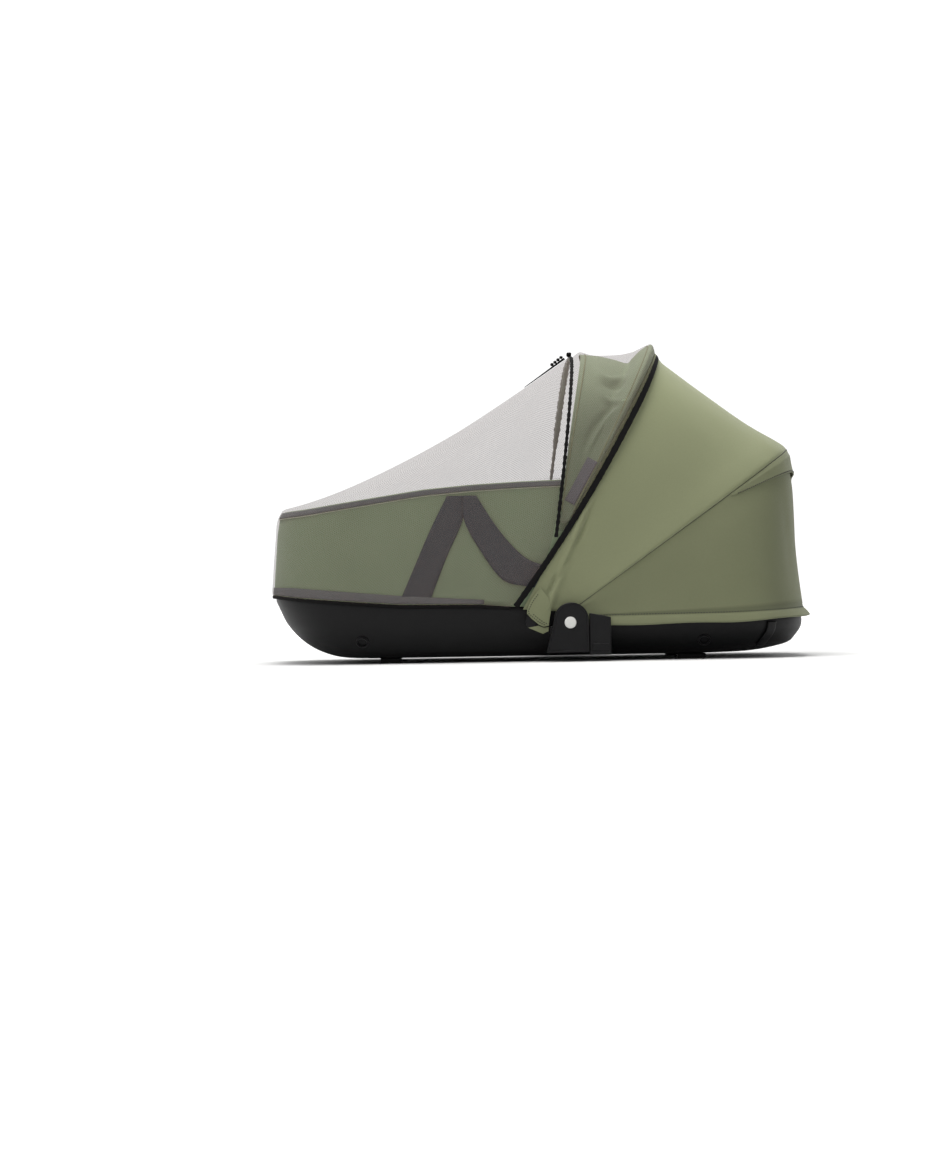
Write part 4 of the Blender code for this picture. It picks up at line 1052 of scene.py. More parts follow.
@dataclass
class Base:
    """The moulded base with its feet, rings and clips."""

    palette: Palette
    levels: tuple = (
        Level(z=0.0075, foot_x=-0.2750, head_x=0.2650, half_width=0.1300),
        Level(z=0.0086, foot_x=-0.2900, head_x=0.2940, half_width=0.1385),
        Level(z=0.0120, foot_x=-0.3067, head_x=0.3200, half_width=0.1460),
        Level(z=0.0196, foot_x=-0.3263, head_x=0.3500, half_width=0.1580),
        Level(z=0.0300, foot_x=-0.3434, head_x=0.3615, half_width=0.1670),
        Level(z=0.0426, foot_x=-0.3575, head_x=0.3700, half_width=0.1735),
        Level(z=0.0566, foot_x=-0.3688, head_x=0.3708, half_width=0.1775),
        Level(z=0.0660, foot_x=-0.3742, head_x=0.3640, half_width=0.1795),
    )
    rim_level: Level = Level(z=0.0, foot_x=-0.3850, head_x=0.3580, half_width=0.1812)
    liner: tuple = (
        Level(z=0.0640, foot_x=-0.3680, head_x=0.3480, half_width=0.1710),
        Level(z=0.0500, foot_x=-0.3570, head_x=0.3500, half_width=0.1640),
        Level(z=0.0360, foot_x=-0.3370, head_x=0.3400, half_width=0.1550),
        Level(z=0.0260, foot_x=-0.3050, head_x=0.3200, half_width=0.1400),
    )
    wall: float = 0.0050
    foot_places: tuple = ((-0.2210, 0.030), (0.2060, 0.040))
    foot_y: float = 0.1120
    foot_depth: float = 0.030
    foot_height: float = 0.0078
    ring_places: tuple = ((-0.2619, 0.0318), (0.2208, 0.0270))
    ring_radius: float = 0.0082
    clip_line: tuple = ((0.3110, 0.0520), (0.3100, 0.0400), (0.3050, 0.0290), (0.3010, 0.0190))
    clip_size: tuple = (0.0150, 0.0030)

    def build(self) -> Surface:
        """Builds the base.

        Returns:
            Its surface.
        """
        shell = self._shell()
        surface = Surface(shell)
        for side in Side:
            for x, width in self.foot_places:
                self._foot(side, x, width)
            for x, z in self.ring_places:
                self._ring(side, x, z, surface)
            self._clip(side, surface)
        return surface

    def _shell(self) -> bpy.types.Object:
        """The tray, from its underside over the lip and down inside."""
        low = [plan_ring(level) for level in self.levels]
        outer = curve_through(np.array(low), 3)
        edge = self.rim_level
        rings = list(outer)
        rings.append(plan_ring(edge, lip(-0.0075)))
        rings.append(plan_ring(edge, lip(-0.0008)))
        soft = edge._replace(half_width=edge.half_width - 0.0008, foot_x=edge.foot_x + 0.0008)
        rings.append(plan_ring(soft, lip(0.0)))
        inner = edge._replace(
            foot_x=edge.foot_x + self.wall, head_x=edge.head_x - self.wall,
            half_width=edge.half_width - self.wall,
        )
        rings.append(plan_ring(inner, lip(0.0)))
        rings += [plan_ring(level._replace(z=level.z - 0.0008)) for level in self.liner]
        shell = ring_body("base_tray", rings, self.palette.plastic)
        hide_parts("base_shell")
        return shell

    def _foot(self, side: Side, x: float, width: float) -> None:
        """One rubber foot."""
        end = "foot_end" if x < 0 else "head_end"
        outline = box_outline(x - width / 2, x + width / 2, 0.0, self.foot_height - 0.0006)
        depths = (self.foot_y - self.foot_depth / 2, self.foot_y + self.foot_depth / 2)
        name = f"rubber_foot_{end}_{side.word}"
        foot = plate(name, outline, depths, side, self.palette.rubber, 0.0012)
        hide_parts(f"foot_{end}_{side.word}")

    def _ring(self, side: Side, x: float, z: float, surface: Surface) -> None:
        """One moulded ring on the sloping wall."""
        end = "foot_end" if x < 0 else "head_end"
        met = surface.hit((x, side.value * 0.30, z), (0.0, -side.value, 0.0))
        centre, normal = met
        ahead = unit(np.array([1.0, 0.0, 0.0]) - normal * normal[0])
        up = np.cross(ahead, normal)
        turns = np.linspace(0, 2 * np.pi, 65)
        circle = ahead * np.cos(turns)[:, None] + up * np.sin(turns)[:, None]
        rings = []
        for reach, height in ((1.10, 0.0), (1.08, 0.0022), (0.96, 0.0026), (0.84, 0.0022), (0.82, 0.0)):
            lift = normal * (height + GAP)
            rings.append(centre + lift + circle[:-1] * self.ring_radius * reach)
        ring = ring_body(f"moulded_ring_{end}_{side.word}", rings, self.palette.hinge, loop=True)
        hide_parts(f"base_ring_{end}_{side.word}")

    def _clip(self, side: Side, surface: Surface) -> None:
        """The strap-like clip at the head end's corner."""
        line, out = [], []
        for x, z in self.clip_line:
            met = surface.hit((x + 0.09, side.value * 0.34, z), (-0.45, -side.value, 0.0))
            line.append(met[0] + met[1] * (GAP + self.clip_size[1] / 2 + 0.0008))
            out.append(met[1])
        line, out = curve_through(np.array(line), 6), unit(curve_through(np.array(out), 6))
        name = f"corner_clip_{side.word}"
        clip = sweep(name, line, out, self.clip_size, self.palette.hinge, squareness=0.5)
        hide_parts(f"base_clip_{side.word}")


@dataclass
class Hinges:
    """The hood's hinges: arched plate, white cap, block and bracket on each side."""

    palette: Palette
    left_x: float = -0.0040
    right_x: float = 0.0560
    top_z: float = 0.0830
    arch_x: float = 0.0313
    arch_radius: float = 0.0245
    foot_z: float = 0.0130
    inner_y: float = 0.2030
    outer_y: float = 0.2130
    cap: Spot = Spot(x=0.0298, z=0.0550)
    cap_radius: float = 0.0082
    cap_thick: float = 0.0016
    block: tuple = (0.0564, 0.0868, 0.0090, 0.0620)
    block_y: float = 0.2090
    bracket: tuple = (0.0020, 0.0820, 0.0380, 0.0500)
    bracket_y: float = 0.1765

    def build(self) -> None:
        """Builds both hinges."""
        for side in Side:
            self._plate(side)
            self._cap(side)
            self._block(side)

    def _arch(self, inset: float, foot_z: float) -> list[tuple]:
        """The plate's outline, drawn in by an inset."""
        shoulder = self.top_z - self.arch_radius
        reach = self.arch_radius - inset
        outline = [(self.left_x + inset, foot_z), (self.right_x - inset, foot_z)]
        for step in range(33):
            turn = math.pi * step / 32
            outline.append((self.arch_x + reach * math.cos(turn), shoulder + reach * math.sin(turn)))
        return outline

    def _plate(self, side: Side) -> None:
        """The arched plate with a raised rim."""
        flat = self.outer_y - 0.0016
        body = plate(
            f"arched_plate_{side.word}", self._arch(0.0, self.foot_z), (self.inner_y, flat),
            side, self.palette.hinge, 0.0010,
        )
        outer, inner = self._arch(0.0004, self.foot_z + 0.0004), self._arch(0.0030, self.foot_z + 0.003)
        rings = []
        for outline, depth in (
            (outer, flat - 0.0004), (outer, self.outer_y - 0.0004),
            (self._arch(0.0010, self.foot_z + 0.001), self.outer_y),
            (self._arch(0.0024, self.foot_z + 0.0024), self.outer_y),
            (inner, self.outer_y - 0.0005), (inner, flat - 0.0004),
        ):
            rings.append(np.array([(x, side.value * depth, z) for x, z in outline]))
        edge = ring_body(f"plate_rim_{side.word}", rings, self.palette.hinge, loop=True)
        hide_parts(f"hinge_plate_{side.word}")

    def _cap(self, side: Side) -> None:
        """The white cap, slightly domed."""
        turns = 2 * np.pi * np.arange(48) / 48
        rings = []
        base = self.outer_y - 0.0016
        for reach, height in (
            (1.0, 0.0), (1.0, 0.0022), (0.96, 0.0029), (0.88, 0.0032), (0.5, 0.0034), (0.1, 0.0035),
        ):
            x = self.cap.x + self.cap_radius * reach * np.cos(turns)
            z = self.cap.z + self.cap_radius * reach * np.sin(turns)
            y = np.full(48, side.value * (base + height))
            rings.append(np.stack([x, y, z], axis=1))
        cap = ring_body(f"domed_cap_{side.word}", rings, self.palette.cap)
        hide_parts(f"hinge_cap_{side.word}")

    def _block(self, side: Side) -> None:
        """The block behind the plate and the bracket to the base."""
        low_x, high_x, low_z, high_z = self.block
        outline = ((low_x, low_z), (high_x, low_z), (high_x, high_z), (low_x, high_z + 0.006))
        depths = (self.inner_y, self.block_y)
        block = plate(f"latch_block_{side.word}", outline, depths, side, self.palette.hinge, 0.0015)
        rib = box_outline(low_x + 0.004, high_x - 0.004, low_z + 0.006, low_z + 0.016)
        depths = (self.block_y - 0.0004, self.block_y + 0.0012)
        button = plate(f"latch_button_{side.word}", rib, depths, side, self.palette.hinge, 0.0008)
        bracket = plate(
            f"hinge_arm_{side.word}", box_outline(*self.bracket),
            (self.bracket_y, self.inner_y - GAP), side, self.palette.hinge, 0.0012,
        )
        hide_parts(f"hinge_block_{side.word}")
        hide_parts(f"hinge_bracket_{side.word}")


@dataclass
class Tub:
    """The padded cloth tub with its grey bands and V straps."""

    palette: Palette
    wall: float = 0.010
    band: float = 0.0012
    rim_band_height: float = 0.0085
    lower_band_end: float = 0.0062
    inner_levels: tuple = (
        Level(z=0.1400, foot_x=-0.3745, head_x=0.3420, half_width=0.1730),
        Level(z=0.1000, foot_x=-0.3740, head_x=0.3410, half_width=0.1700),
        Level(z=0.0680, foot_x=-0.3570, head_x=0.3370, half_width=0.1610),
        Level(z=0.0530, foot_x=-0.3430, head_x=0.3370, half_width=0.1530),
        Level(z=0.0400, foot_x=-0.3200, head_x=0.3250, half_width=0.1420),
        Level(z=0.0325, foot_x=-0.2960, head_x=0.3100, half_width=0.1310),
        Level(z=0.0315, foot_x=-0.2700, head_x=0.2850, half_width=0.1060),
    )
    liner: tuple = (
        Level(z=0.0260, foot_x=-0.3050, head_x=0.3200, half_width=0.1400),
        Level(z=0.0360, foot_x=-0.3370, head_x=0.3400, half_width=0.1550),
        Level(z=0.0500, foot_x=-0.3570, head_x=0.3500, half_width=0.1640),
        Level(z=0.0640, foot_x=-0.3680, head_x=0.3480, half_width=0.1710),
    )
    strap_foot_leg: tuple = (
        ((-0.1400, 0.2352), (-0.1640, 0.1880), (-0.1860, 0.1390), (-0.2075, 0.0900)),
        ((-0.1180, 0.2352), (-0.1180, 0.2020), (-0.1420, 0.1480), (-0.1660, 0.0880)),
    )
    strap_head_leg: tuple = (
        ((-0.0985, 0.2352), (-0.0740, 0.1960), (-0.0500, 0.1650), (-0.0260, 0.1440), (0.0050, 0.1330)),
        ((-0.1180, 0.2352), (-0.1160, 0.2000), (-0.0930, 0.1560), (-0.0640, 0.1170), (-0.0330, 0.1070), (0.0050, 0.1030)),
    )

    def build(self) -> Surface:
        """Builds the tub.

        Returns:
            Its outer surface.
        """
        tub = self._walls()
        self._bands()
        surface = Surface(tub)
        for side in Side:
            self._strap(side)
        return surface

    def _walls(self) -> bpy.types.Object:
        """The padded wall, its rounded rim and its lining."""
        seat = 0.0062
        rings = [plan_ring(level) for level in self.liner]
        under = Level(0.0, -0.3850 + seat, 0.3580 - seat, 0.1812 - seat)
        rings += [
            plan_ring(under, lip(0.0004)),
            wall_ring(0.0, lip(0.0004)),
            wall_ring(0.0, lip(0.0080)),
            wall_ring(-0.0002, lambda x: 0.75 * lip(0.0)(x) + 0.25 * rim(0.0)(x)),
            wall_ring(-0.0002, lambda x: 0.5 * lip(0.0)(x) + 0.5 * rim(0.0)(x)),
            wall_ring(-0.0001, lambda x: 0.25 * lip(0.0)(x) + 0.75 * rim(0.0)(x)),
            wall_ring(0.0, rim(self.rim_band_height)),
            wall_ring(0.0, rim(0.0032)),
            wall_ring(0.0010, rim(0.0010)),
            wall_ring(0.0030, rim(0.0)),
            wall_ring(self.wall - 0.003, rim(0.0)),
            wall_ring(self.wall - 0.001, rim(0.0010)),
            wall_ring(self.wall, rim(0.0032)),
            wall_ring(self.wall, rim(0.0200)),
        ]
        rings += [plan_ring(level) for level in self.inner_levels]
        tub = ring_body("padded_tub", rings, self.palette.tub)
        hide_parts("tub_wall")
        return tub

    def _bands(self) -> None:
        """The band round the rim with a thin pale cord along its lower edge, whose pale colour is a painted highlight,
        and the band at the foot.
        """
        middle = -(GAP + self.band / 2)
        drops = np.linspace(0.0012, self.rim_band_height, 5)
        grid = np.array([wall_ring(middle, rim(drop)) for drop in drops])
        grid = np.concatenate([grid, grid[:, :1]], axis=1)
        band = sheet("rim_binding", grid, self.palette.band, self.band)
        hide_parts("rim_band")

        # A cord along the rim band's lower edge; its pale colour is a painted highlight on the edge fold.
        line = wall_ring(-0.0006, rim(self.rim_band_height + 0.0012))
        line = np.concatenate([line, line[:1]])
        painted_light_cord = sweep("rim_piping", line, np.tile(UP, (len(line), 1)), (0.0012, 0.0012), self.palette.pale_edge_highlight, sides=6)

        end = LOWER_BAND_TOP[-1]
        rows = []
        for share in np.linspace(0.0, 1.0, 6):
            ring = wall_ring(middle, low_band(share))
            tip = np.array([end.x, 0.0, end.z - share * self.lower_band_end])
            out = np.array([0.0, TUB_HALF_WIDTH - middle, 0.0])
            rows.append(np.vstack([tip + out, ring[ring[:, 0] < end.x - 0.004], tip - out]))
        band = sheet("foot_binding", np.array(rows), self.palette.band, self.band)
        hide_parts("lower_band")

    def _strap(self, side: Side) -> None:
        """The V of webbing, as two legs that meet in a pressed fold."""
        lift = TUB_HALF_WIDTH + GAP + self.band / 2
        for word, edges, step, flat in (
            ("foot", self.strap_foot_leg, 0.0, (0.040, 0.156)),
            ("head", self.strap_head_leg, 0.0012, (0.040, 0.178)),
        ):
            lines = []
            for edge in edges:
                line = curve_through(np.array(edge), 10)
                line = np.column_stack([line[:, 0], np.zeros(len(line)), line[:, 1]])
                lines.append(resample(line, even(44)))
            shares = np.linspace(0.0, 1.0, 9)[:, None, None]
            grid = lines[0][None] * (1 - shares) + lines[1][None] * shares
            grid[..., 1] = side.value * (lift + step + 0.0003 * np.sin(grid[..., 2] * 70))
            leg = sheet(f"webbing_{word}_leg_{side.word}", grid, self.palette.webbing, 0.0010)
            if not step:
                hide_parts(f"carry_strap_{side.word}")


@dataclass
class Hood:
    """The hood: visor, canopy, rear panel with its skirt, flap, corners and label."""

    palette: Palette
    thick: float = 0.0014
    columns: int = 30
    visor_rows: tuple = (
        Row(0.0, 0.0, 0.0), Row(0.05, -0.0002, 0.0), Row(0.10, -0.0010, 0.0),
        Row(0.26, -0.0030, -0.0006), Row(0.45, -0.0078, -0.0012), Row(0.64, -0.0134, -0.0006),
        Row(0.74, -0.0040, 0.0004), Row(0.83, 0.0054, 0.0012), Row(0.91, 0.0106, 0.0020),
        Row(0.965, 0.0124, 0.0014), Row(1.0, 0.0022, 0.0),
    )
    canopy_rows: tuple = (
        Row(0.0, 0.0, 0.0), Row(0.022, -0.0040, 0.0), Row(0.050, -0.0070, 0.0),
        Row(0.085, -0.0074, 0.0), Row(0.125, -0.0074, 0.0), Row(0.18, -0.0074, -0.0002),
        Row(0.30, -0.0074, -0.0006), Row(0.45, -0.0073, -0.0008), Row(0.60, -0.0070, -0.0007),
        Row(0.76, -0.0050, 0.0004), Row(0.89, 0.0004, 0.0022), Row(0.97, 0.0028, 0.0030),
        Row(0.998, 0.0, 0.0),
    )
    rear_rows: tuple = (
        Row(0.003, 0.0, 0.0), Row(0.05, 0.0003, 0.0), Row(0.13, 0.0004, 0.0), Row(0.25, 0.0020, 0.0),
        Row(0.42, 0.0004, -0.0004), Row(0.62, -0.0020, -0.0008), Row(0.82, -0.0016, -0.0006),
        Row(1.0, 0.0, 0.0),
    )
    visor_creases: tuple = (
        Crease(((0.078, 0.412), (0.0860, 0.4010), (0.0985, 0.3975), (0.121, 0.4010)), 0.0042, 0.0040),
        Crease(((0.083, 0.393), (0.099, 0.3855), (0.118, 0.3900)), -0.0040, 0.0060),
        Crease(((0.0790, 0.3800), (0.0880, 0.3690), (0.1000, 0.3650), (0.1190, 0.3680)), 0.0036, 0.0034),
        Crease(((0.0985, 0.367), (0.109, 0.379), (0.121, 0.394)), 0.0022, 0.0030),
        Crease(((0.1060, 0.356), (0.0930, 0.3440), (0.0762, 0.3230), (0.0600, 0.2960)), 0.0044, 0.0034),
        Crease(((0.1000, 0.356), (0.0800, 0.3400), (0.0640, 0.3180), (0.0540, 0.2960)), -0.0034, 0.0060),
        Crease(((0.1040, 0.340), (0.0880, 0.3200), (0.0740, 0.2960)), -0.0026, 0.0050),
        Crease(((0.081, 0.405), (0.0936, 0.3955), (0.118, 0.3975)), 0.0028, 0.0060, Side.FAR),
        Crease(((0.1100, 0.362), (0.0762, 0.3245), (0.0566, 0.2935)), 0.0024, 0.0055, Side.FAR),
    )
    canopy_creases: tuple = (
        Crease(((-0.0041, 0.0881), (0.0277, 0.1397), (0.0510, 0.1857), (0.0660, 0.2200)), -0.0036, 0.0026),
        Crease(((-0.0010, 0.0960), (0.0040, 0.1060), (0.0085, 0.1160), (0.0110, 0.1230)), -0.0040, 0.0022),
        Crease(((-0.0041, 0.0881), (0.0277, 0.1397), (0.0510, 0.1857), (0.0660, 0.2200)), -0.0020, 0.0034, Side.FAR),
        Crease(((0.200, 0.392), (0.232, 0.340), (0.262, 0.270)), -0.0010, 0.0160),
        Crease(((0.300, 0.322), (0.318, 0.300), (0.332, 0.292)), 0.0014, 0.0080),
    )
    rear_creases: tuple = (
        Crease(((0.338, 0.232), (0.345, 0.170), (0.352, 0.100)), -0.0022, 0.0085),
        Crease(((0.318, 0.225), (0.320, 0.160), (0.326, 0.095)), 0.0010, 0.0100),
        Crease(((0.338, 0.232), (0.345, 0.170), (0.352, 0.100)), -0.0018, 0.0090, Side.FAR),
        Crease(((0.270, 0.150), (0.300, 0.120), (0.340, 0.085)), 0.0008, 0.0120),
    )
    far_set_back: float = 0.0220
    bow_ridge: float = 0.0040
    bow_width: float = 0.0060
    stitch_z: tuple = (0.0640, 0.0705)
    skirt_z: tuple = (0.0490, 0.0595)
    stitch_reach: tuple = (0.3716, 0.1965)
    skirt_reach: tuple = (0.3815, 0.2000)
    start_x: float = 0.0300
    flap_start: float = 0.262
    flap_depth: float = 0.205
    label: tuple = (Spot(0.0320, 0.2230), Spot(0.0660, 0.2830))
    label_width: float = 0.0155
    corner: tuple = (
        (-0.0106, 0.1040), (-0.0170, 0.0970), (-0.0250, 0.0855), (-0.0298, 0.0745), (-0.0304, 0.0680),
        (-0.0237, 0.0606), (-0.0144, 0.0528), (-0.0074, 0.0492), (0.0000, 0.0509), (0.0012, 0.0588),
        (0.0036, 0.0728), (0.0006, 0.0900),
    )
    corner_fold: tuple = (
        (-0.0290, 0.0484), (-0.0082, 0.0394), (-0.0004, 0.0432), (0.0002, 0.0492), (-0.0074, 0.0482),
        (-0.0144, 0.0512), (-0.0200, 0.0500),
    )
    corner_hook: tuple = (
        (-0.0322, 0.0560), (-0.0300, 0.0676), (-0.0237, 0.0600), (-0.0180, 0.0550), (-0.0200, 0.0500),
        (-0.0300, 0.0480),
    )
    corner_y: float = 0.1969

    def build(self) -> Surface:
        """Builds the hood.

        Returns:
            The surface that the net's rear binding lies on.
        """
        shares = even(self.columns)
        front = resample(arch_line(VISOR_ARCH, PANEL_START_Z), shares)
        back = resample(arch_line(HOOD_FRONT_ARCH, PANEL_START_Z, -0.0012), shares)
        panel = across_panel(front, back, self.visor_rows)
        ahead = 1.0 - np.array([row.share for row in self.visor_rows])[:, None]
        panel[..., 0] += self.far_set_back * smooth(panel[..., 1] / TUB_HALF_WIDTH) * ahead
        visor = creased(refined(panel, 7, 6), self.visor_creases)
        self._dress_visor(visor)

        first = resample(arch_line(HOOD_FRONT_ARCH, HOOD_FRONT_ARCH.base_z), shares)
        seam = resample(arch_line(HOOD_SEAM_ARCH, HOOD_SEAM_ARCH.base_z), shares)
        canopy = refined(across_panel(first, seam, self.canopy_rows), 6, 6)
        canopy = canopy + self._ridge(canopy)
        canopy = creased(canopy, self.canopy_creases)
        # Painted light and shade: the canopy is painted lighter towards its top and darker lower down, as the light
        # from above falls on it.
        shade = 1.16 - 0.16 * smooth((0.425 - canopy[..., 2]) / 0.14)
        main = sheet("hood_main_panel", canopy, self.palette.hood, self.thick, shade)
        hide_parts("hood_canopy")

        self._rear(seam)
        self._corners()
        return Surface(main)

    def _ridge(self, grid: np.ndarray) -> np.ndarray:
        """How far the hood's front bow pushes the cloth out, low on each side."""
        heights = grid[:, :, 2]
        share = (heights - BOW_LINE.base_z) / (BOW_LINE.crown_z - BOW_LINE.base_z)
        bow_x = BOW_LINE.base_x + (BOW_LINE.crown_x - BOW_LINE.base_x) * share
        bow_x += 4 * BOW_LINE.bulge * share * (1 - share)
        away = (grid[:, :, 0] - bow_x) / self.bow_width
        lift = self.bow_ridge * np.exp(-(away**2)) * smooth((0.255 - heights) / 0.06)
        return grid_normals(grid) * lift[:, :, None]

    def _dress_visor(self, visor: np.ndarray) -> None:
        """The visor with its seams, its stitching and the bare patch."""
        height = visor[..., 2]
        # Painted shade: the visor is painted darker towards its lower part.
        shade = 1.0 - 0.26 * smooth((0.415 - height) / 0.09)
        cloth = sheet("hood_front_visor", visor, self.palette.visor, 0.0012, shade)
        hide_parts("hood_visor")
        rows = len(visor)
        normals = grid_normals(visor)
        for name, share in (("visor_edge_seam", 0.125), ("visor_edge_roll", 0.004), ("bow_edge_binding", 0.80)):
            row = visor[int(round(share * (rows - 1)))][4:-4]
            out = normals[int(round(share * (rows - 1)))][4:-4]
            size = (0.0022, 0.0012) if name != "visor_edge_roll" else (0.0020, 0.0020)
            line = resample(row, even(150))
            normal = unit(resample(row, even(150), out))
            lift = 0.0008 if name != "visor_edge_roll" else 0.0
            finish = self.palette.visor if name == "visor_edge_roll" else self.palette.hood
            cord = sweep(name, line + normal * lift, normal, size, finish, sides=8)
        surface = Surface(cloth)
        start, end = self.label
        along = np.array(end) - np.array(start)
        across = np.array([along[1], -along[0]]) / np.linalg.norm(along)
        grid = []
        for side in np.linspace(-0.5, 0.5, 7):
            row = []
            for share in even(22):
                at = np.array(start) + along * share + across * self.label_width * side
                met = surface.hit((at[0], -0.30, at[1]), (0.0, 1.0, 0.0))
                row.append(met[0] + met[1] * 0.0009)
            grid.append(row)
        patch = sheet("bare_label_patch", np.array(grid), self.palette.label, 0.0005)
        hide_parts("label_patch")

    def _hem(self, heights: tuple, reach: tuple) -> np.ndarray:
        """A U in plan round the head end at the hood's hem."""
        flat = u_line(-self.start_x, -reach[0], reach[1], HEAD_CORNER - 0.005)
        flat[:, 0] *= -1
        share = np.clip((flat[:, 0] - self.start_x) / (reach[0] - self.start_x), 0.0, 1.0)
        flat[:, 2] = heights[0] + (heights[1] - heights[0]) * share**3
        return flat

    def _rear(self, seam: np.ndarray) -> None:
        """The rear panel, its stitched skirt and the flap behind the seam."""
        shares = even(self.columns)
        top = resample(arch_line(HOOD_SEAM_ARCH, HOOD_SEAM_ARCH.base_z, 0.0006), shares)
        stitch = resample(self._hem(self.stitch_z, self.stitch_reach), shares)
        edge = resample(self._hem(self.skirt_z, self.skirt_reach), shares)
        out = (top + stitch) / 2 - np.array([0.12, 0.0, 0.10])
        out[:, 2] = 0.0
        out = unit(out)
        weight = crown_weights(len(top))
        grid = []
        for row in self.rear_rows:
            lift = row.side + (row.crown - row.side) * weight
            grid.append(top + (stitch - top) * row.share + out * lift[:, None])
        upper = refined(np.array(grid), 6, 6)
        fine_edge = curve_through(edge, 6)
        last = upper[-1]
        skirt = [last + (fine_edge - last) * share + out_of(last) * 0.0008 * math.sin(math.pi * share)
                 for share in (0.2, 0.4, 0.6, 0.8, 1.0)]
        panel = np.concatenate([upper, np.array(skirt)])
        wave = 0.0007 * np.sin(np.linspace(0, 46, panel.shape[1]))
        panel[-5:, :, 2] += wave * np.linspace(0.2, 1, 5)[:, None]
        panel = creased(panel, self.rear_creases)
        # Painted shade: the rear panel is painted darker all over, darker still in a vertical band near x 0.33 and in
        # the rows along the skirt's stitching; painted light: the skirt's rows are painted lighter.
        shade = 0.81 - 0.13 * np.exp(-(((panel[..., 0] - 0.330) / 0.026) ** 2))
        shade[-7:-5] *= 0.72
        shade[-5:] *= 1.10
        rear = sheet("hood_rear_panel", panel, self.palette.hood, self.thick, shade)
        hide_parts("hood_rear")
        row = len(upper) - 1
        normals = grid_normals(panel)
        line = panel[row][6:-6] + normals[row][6:-6] * (self.thick / 2 + 0.0001)
        sewing = stitches("skirt_stitching", line, normals[row][6:-6], self.palette.thread)
        # A cord in the rear seam; its near-black thread colour is painted shade for the seam's groove.
        fine_seam = curve_through(seam, 6)
        painted_light_cord = sweep(
            "rear_seam_piping", fine_seam, arch_normals(fine_seam), (0.0021, 0.0020), self.palette.thread, sides=8
        )
        self._flap(out)

    def _flap(self, out: np.ndarray) -> None:
        """The flap that hangs over the rear panel behind the seam."""
        shares = self.flap_start + (1 - 2 * self.flap_start) * even(72)
        top = resample(arch_line(HOOD_SEAM_ARCH, HOOD_SEAM_ARCH.base_z), shares)
        bottom = resample(self._hem(self.stitch_z, self.stitch_reach), shares)
        away = (top + bottom) / 2 - np.array([0.12, 0.0, 0.10])
        away[:, 2] = 0.0
        away = unit(away)
        centred = 1 - np.abs(2 * even(72) - 1)
        depth = 0.012 + (self.flap_depth - 0.012) * centred**0.72
        grid = []
        for share in even(14):
            opened = 0.0005 + 0.0040 * share**3 * centred + 0.0030 * np.minimum(centred * 3, 1)
            lift = 0.0009 + opened * smooth(share / 0.30)
            at = (0.002 + depth * share)[:, None]
            ripple = 0.0008 * np.sin(centred * 21) * share * centred
            grid.append(top + (bottom - top) * at + away * (lift + ripple)[:, None])
        grid = np.array(grid)
        # Painted shade: the flap, which faces the rear, is painted darker, and its two lowest rows darker still.
        shade = np.full(grid.shape[:2], 0.78)
        shade[-2:] *= 0.93
        flap = sheet("hood_rear_flap", grid, self.palette.hood, 0.0012, shade)
        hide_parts("rear_flap")
        normals = grid_normals(grid)
        line = grid[-2][2:-2] + normals[-2][2:-2] * 0.0007
        sewing = stitches("flap_stitching", line, normals[-2][2:-2], self.palette.thread, 0.0034)

    def _corners(self) -> None:
        """The stitched cloth tab under each front corner of the hood."""
        for side in Side:
            depths = (self.corner_y, self.corner_y + 0.0016)
            name = f"corner_tab_{side.word}"
            tab = plate(name, self.corner, depths, side, self.palette.hood, 0.0006)
            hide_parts(f"hood_corner_{side.word}")
            fold = plate(
                f"corner_fold_{side.word}", self.corner_fold, (self.corner_y - 0.0012, self.corner_y - 0.0002),
                side, self.palette.hood, 0.0004,
            )
            hook = plate(
                f"corner_hook_{side.word}", self.corner_hook, (self.corner_y - 0.0016, self.corner_y - 0.0004),
                side, self.palette.hinge, 0.0004,
            )
            for index, route in enumerate((
                ((-0.0150, 0.0945), (-0.0230, 0.0835), (-0.0276, 0.0735), (-0.0276, 0.0680)),
                ((-0.0276, 0.0680), (-0.0212, 0.0622), (-0.0130, 0.0556), (-0.0066, 0.0522)),
                ((-0.0210, 0.0666), (-0.0150, 0.0614), (-0.0080, 0.0562), (-0.0036, 0.0540)),
            )):
                flat = curve_through(np.array(route), 8)
                line = np.zeros((len(flat), 3))
                line[:, 0], line[:, 2] = flat[:, 0], flat[:, 1]
                line[:, 1] = side.value * (depths[1] + 0.0001)
                normal = np.tile(np.array([0.0, side.value, 0.0]), (len(flat), 1))
                name = f"corner_stitching_{index}_{side.word}"
                sewing = stitches(name, line, normal, self.palette.thread, 0.0032, (0.0020, 0.0014))


def out_of(points: np.ndarray) -> np.ndarray:
    """Level directions away from the middle of the head end."""
    away = points - np.array([0.12, 0.0, 0.0])
    away[:, 2] = 0.0
    return unit(away)


class WallRow(NamedTuple):
    """One row of the net's wall: its share of the height and how far it stands out."""

    share: float
    out: float


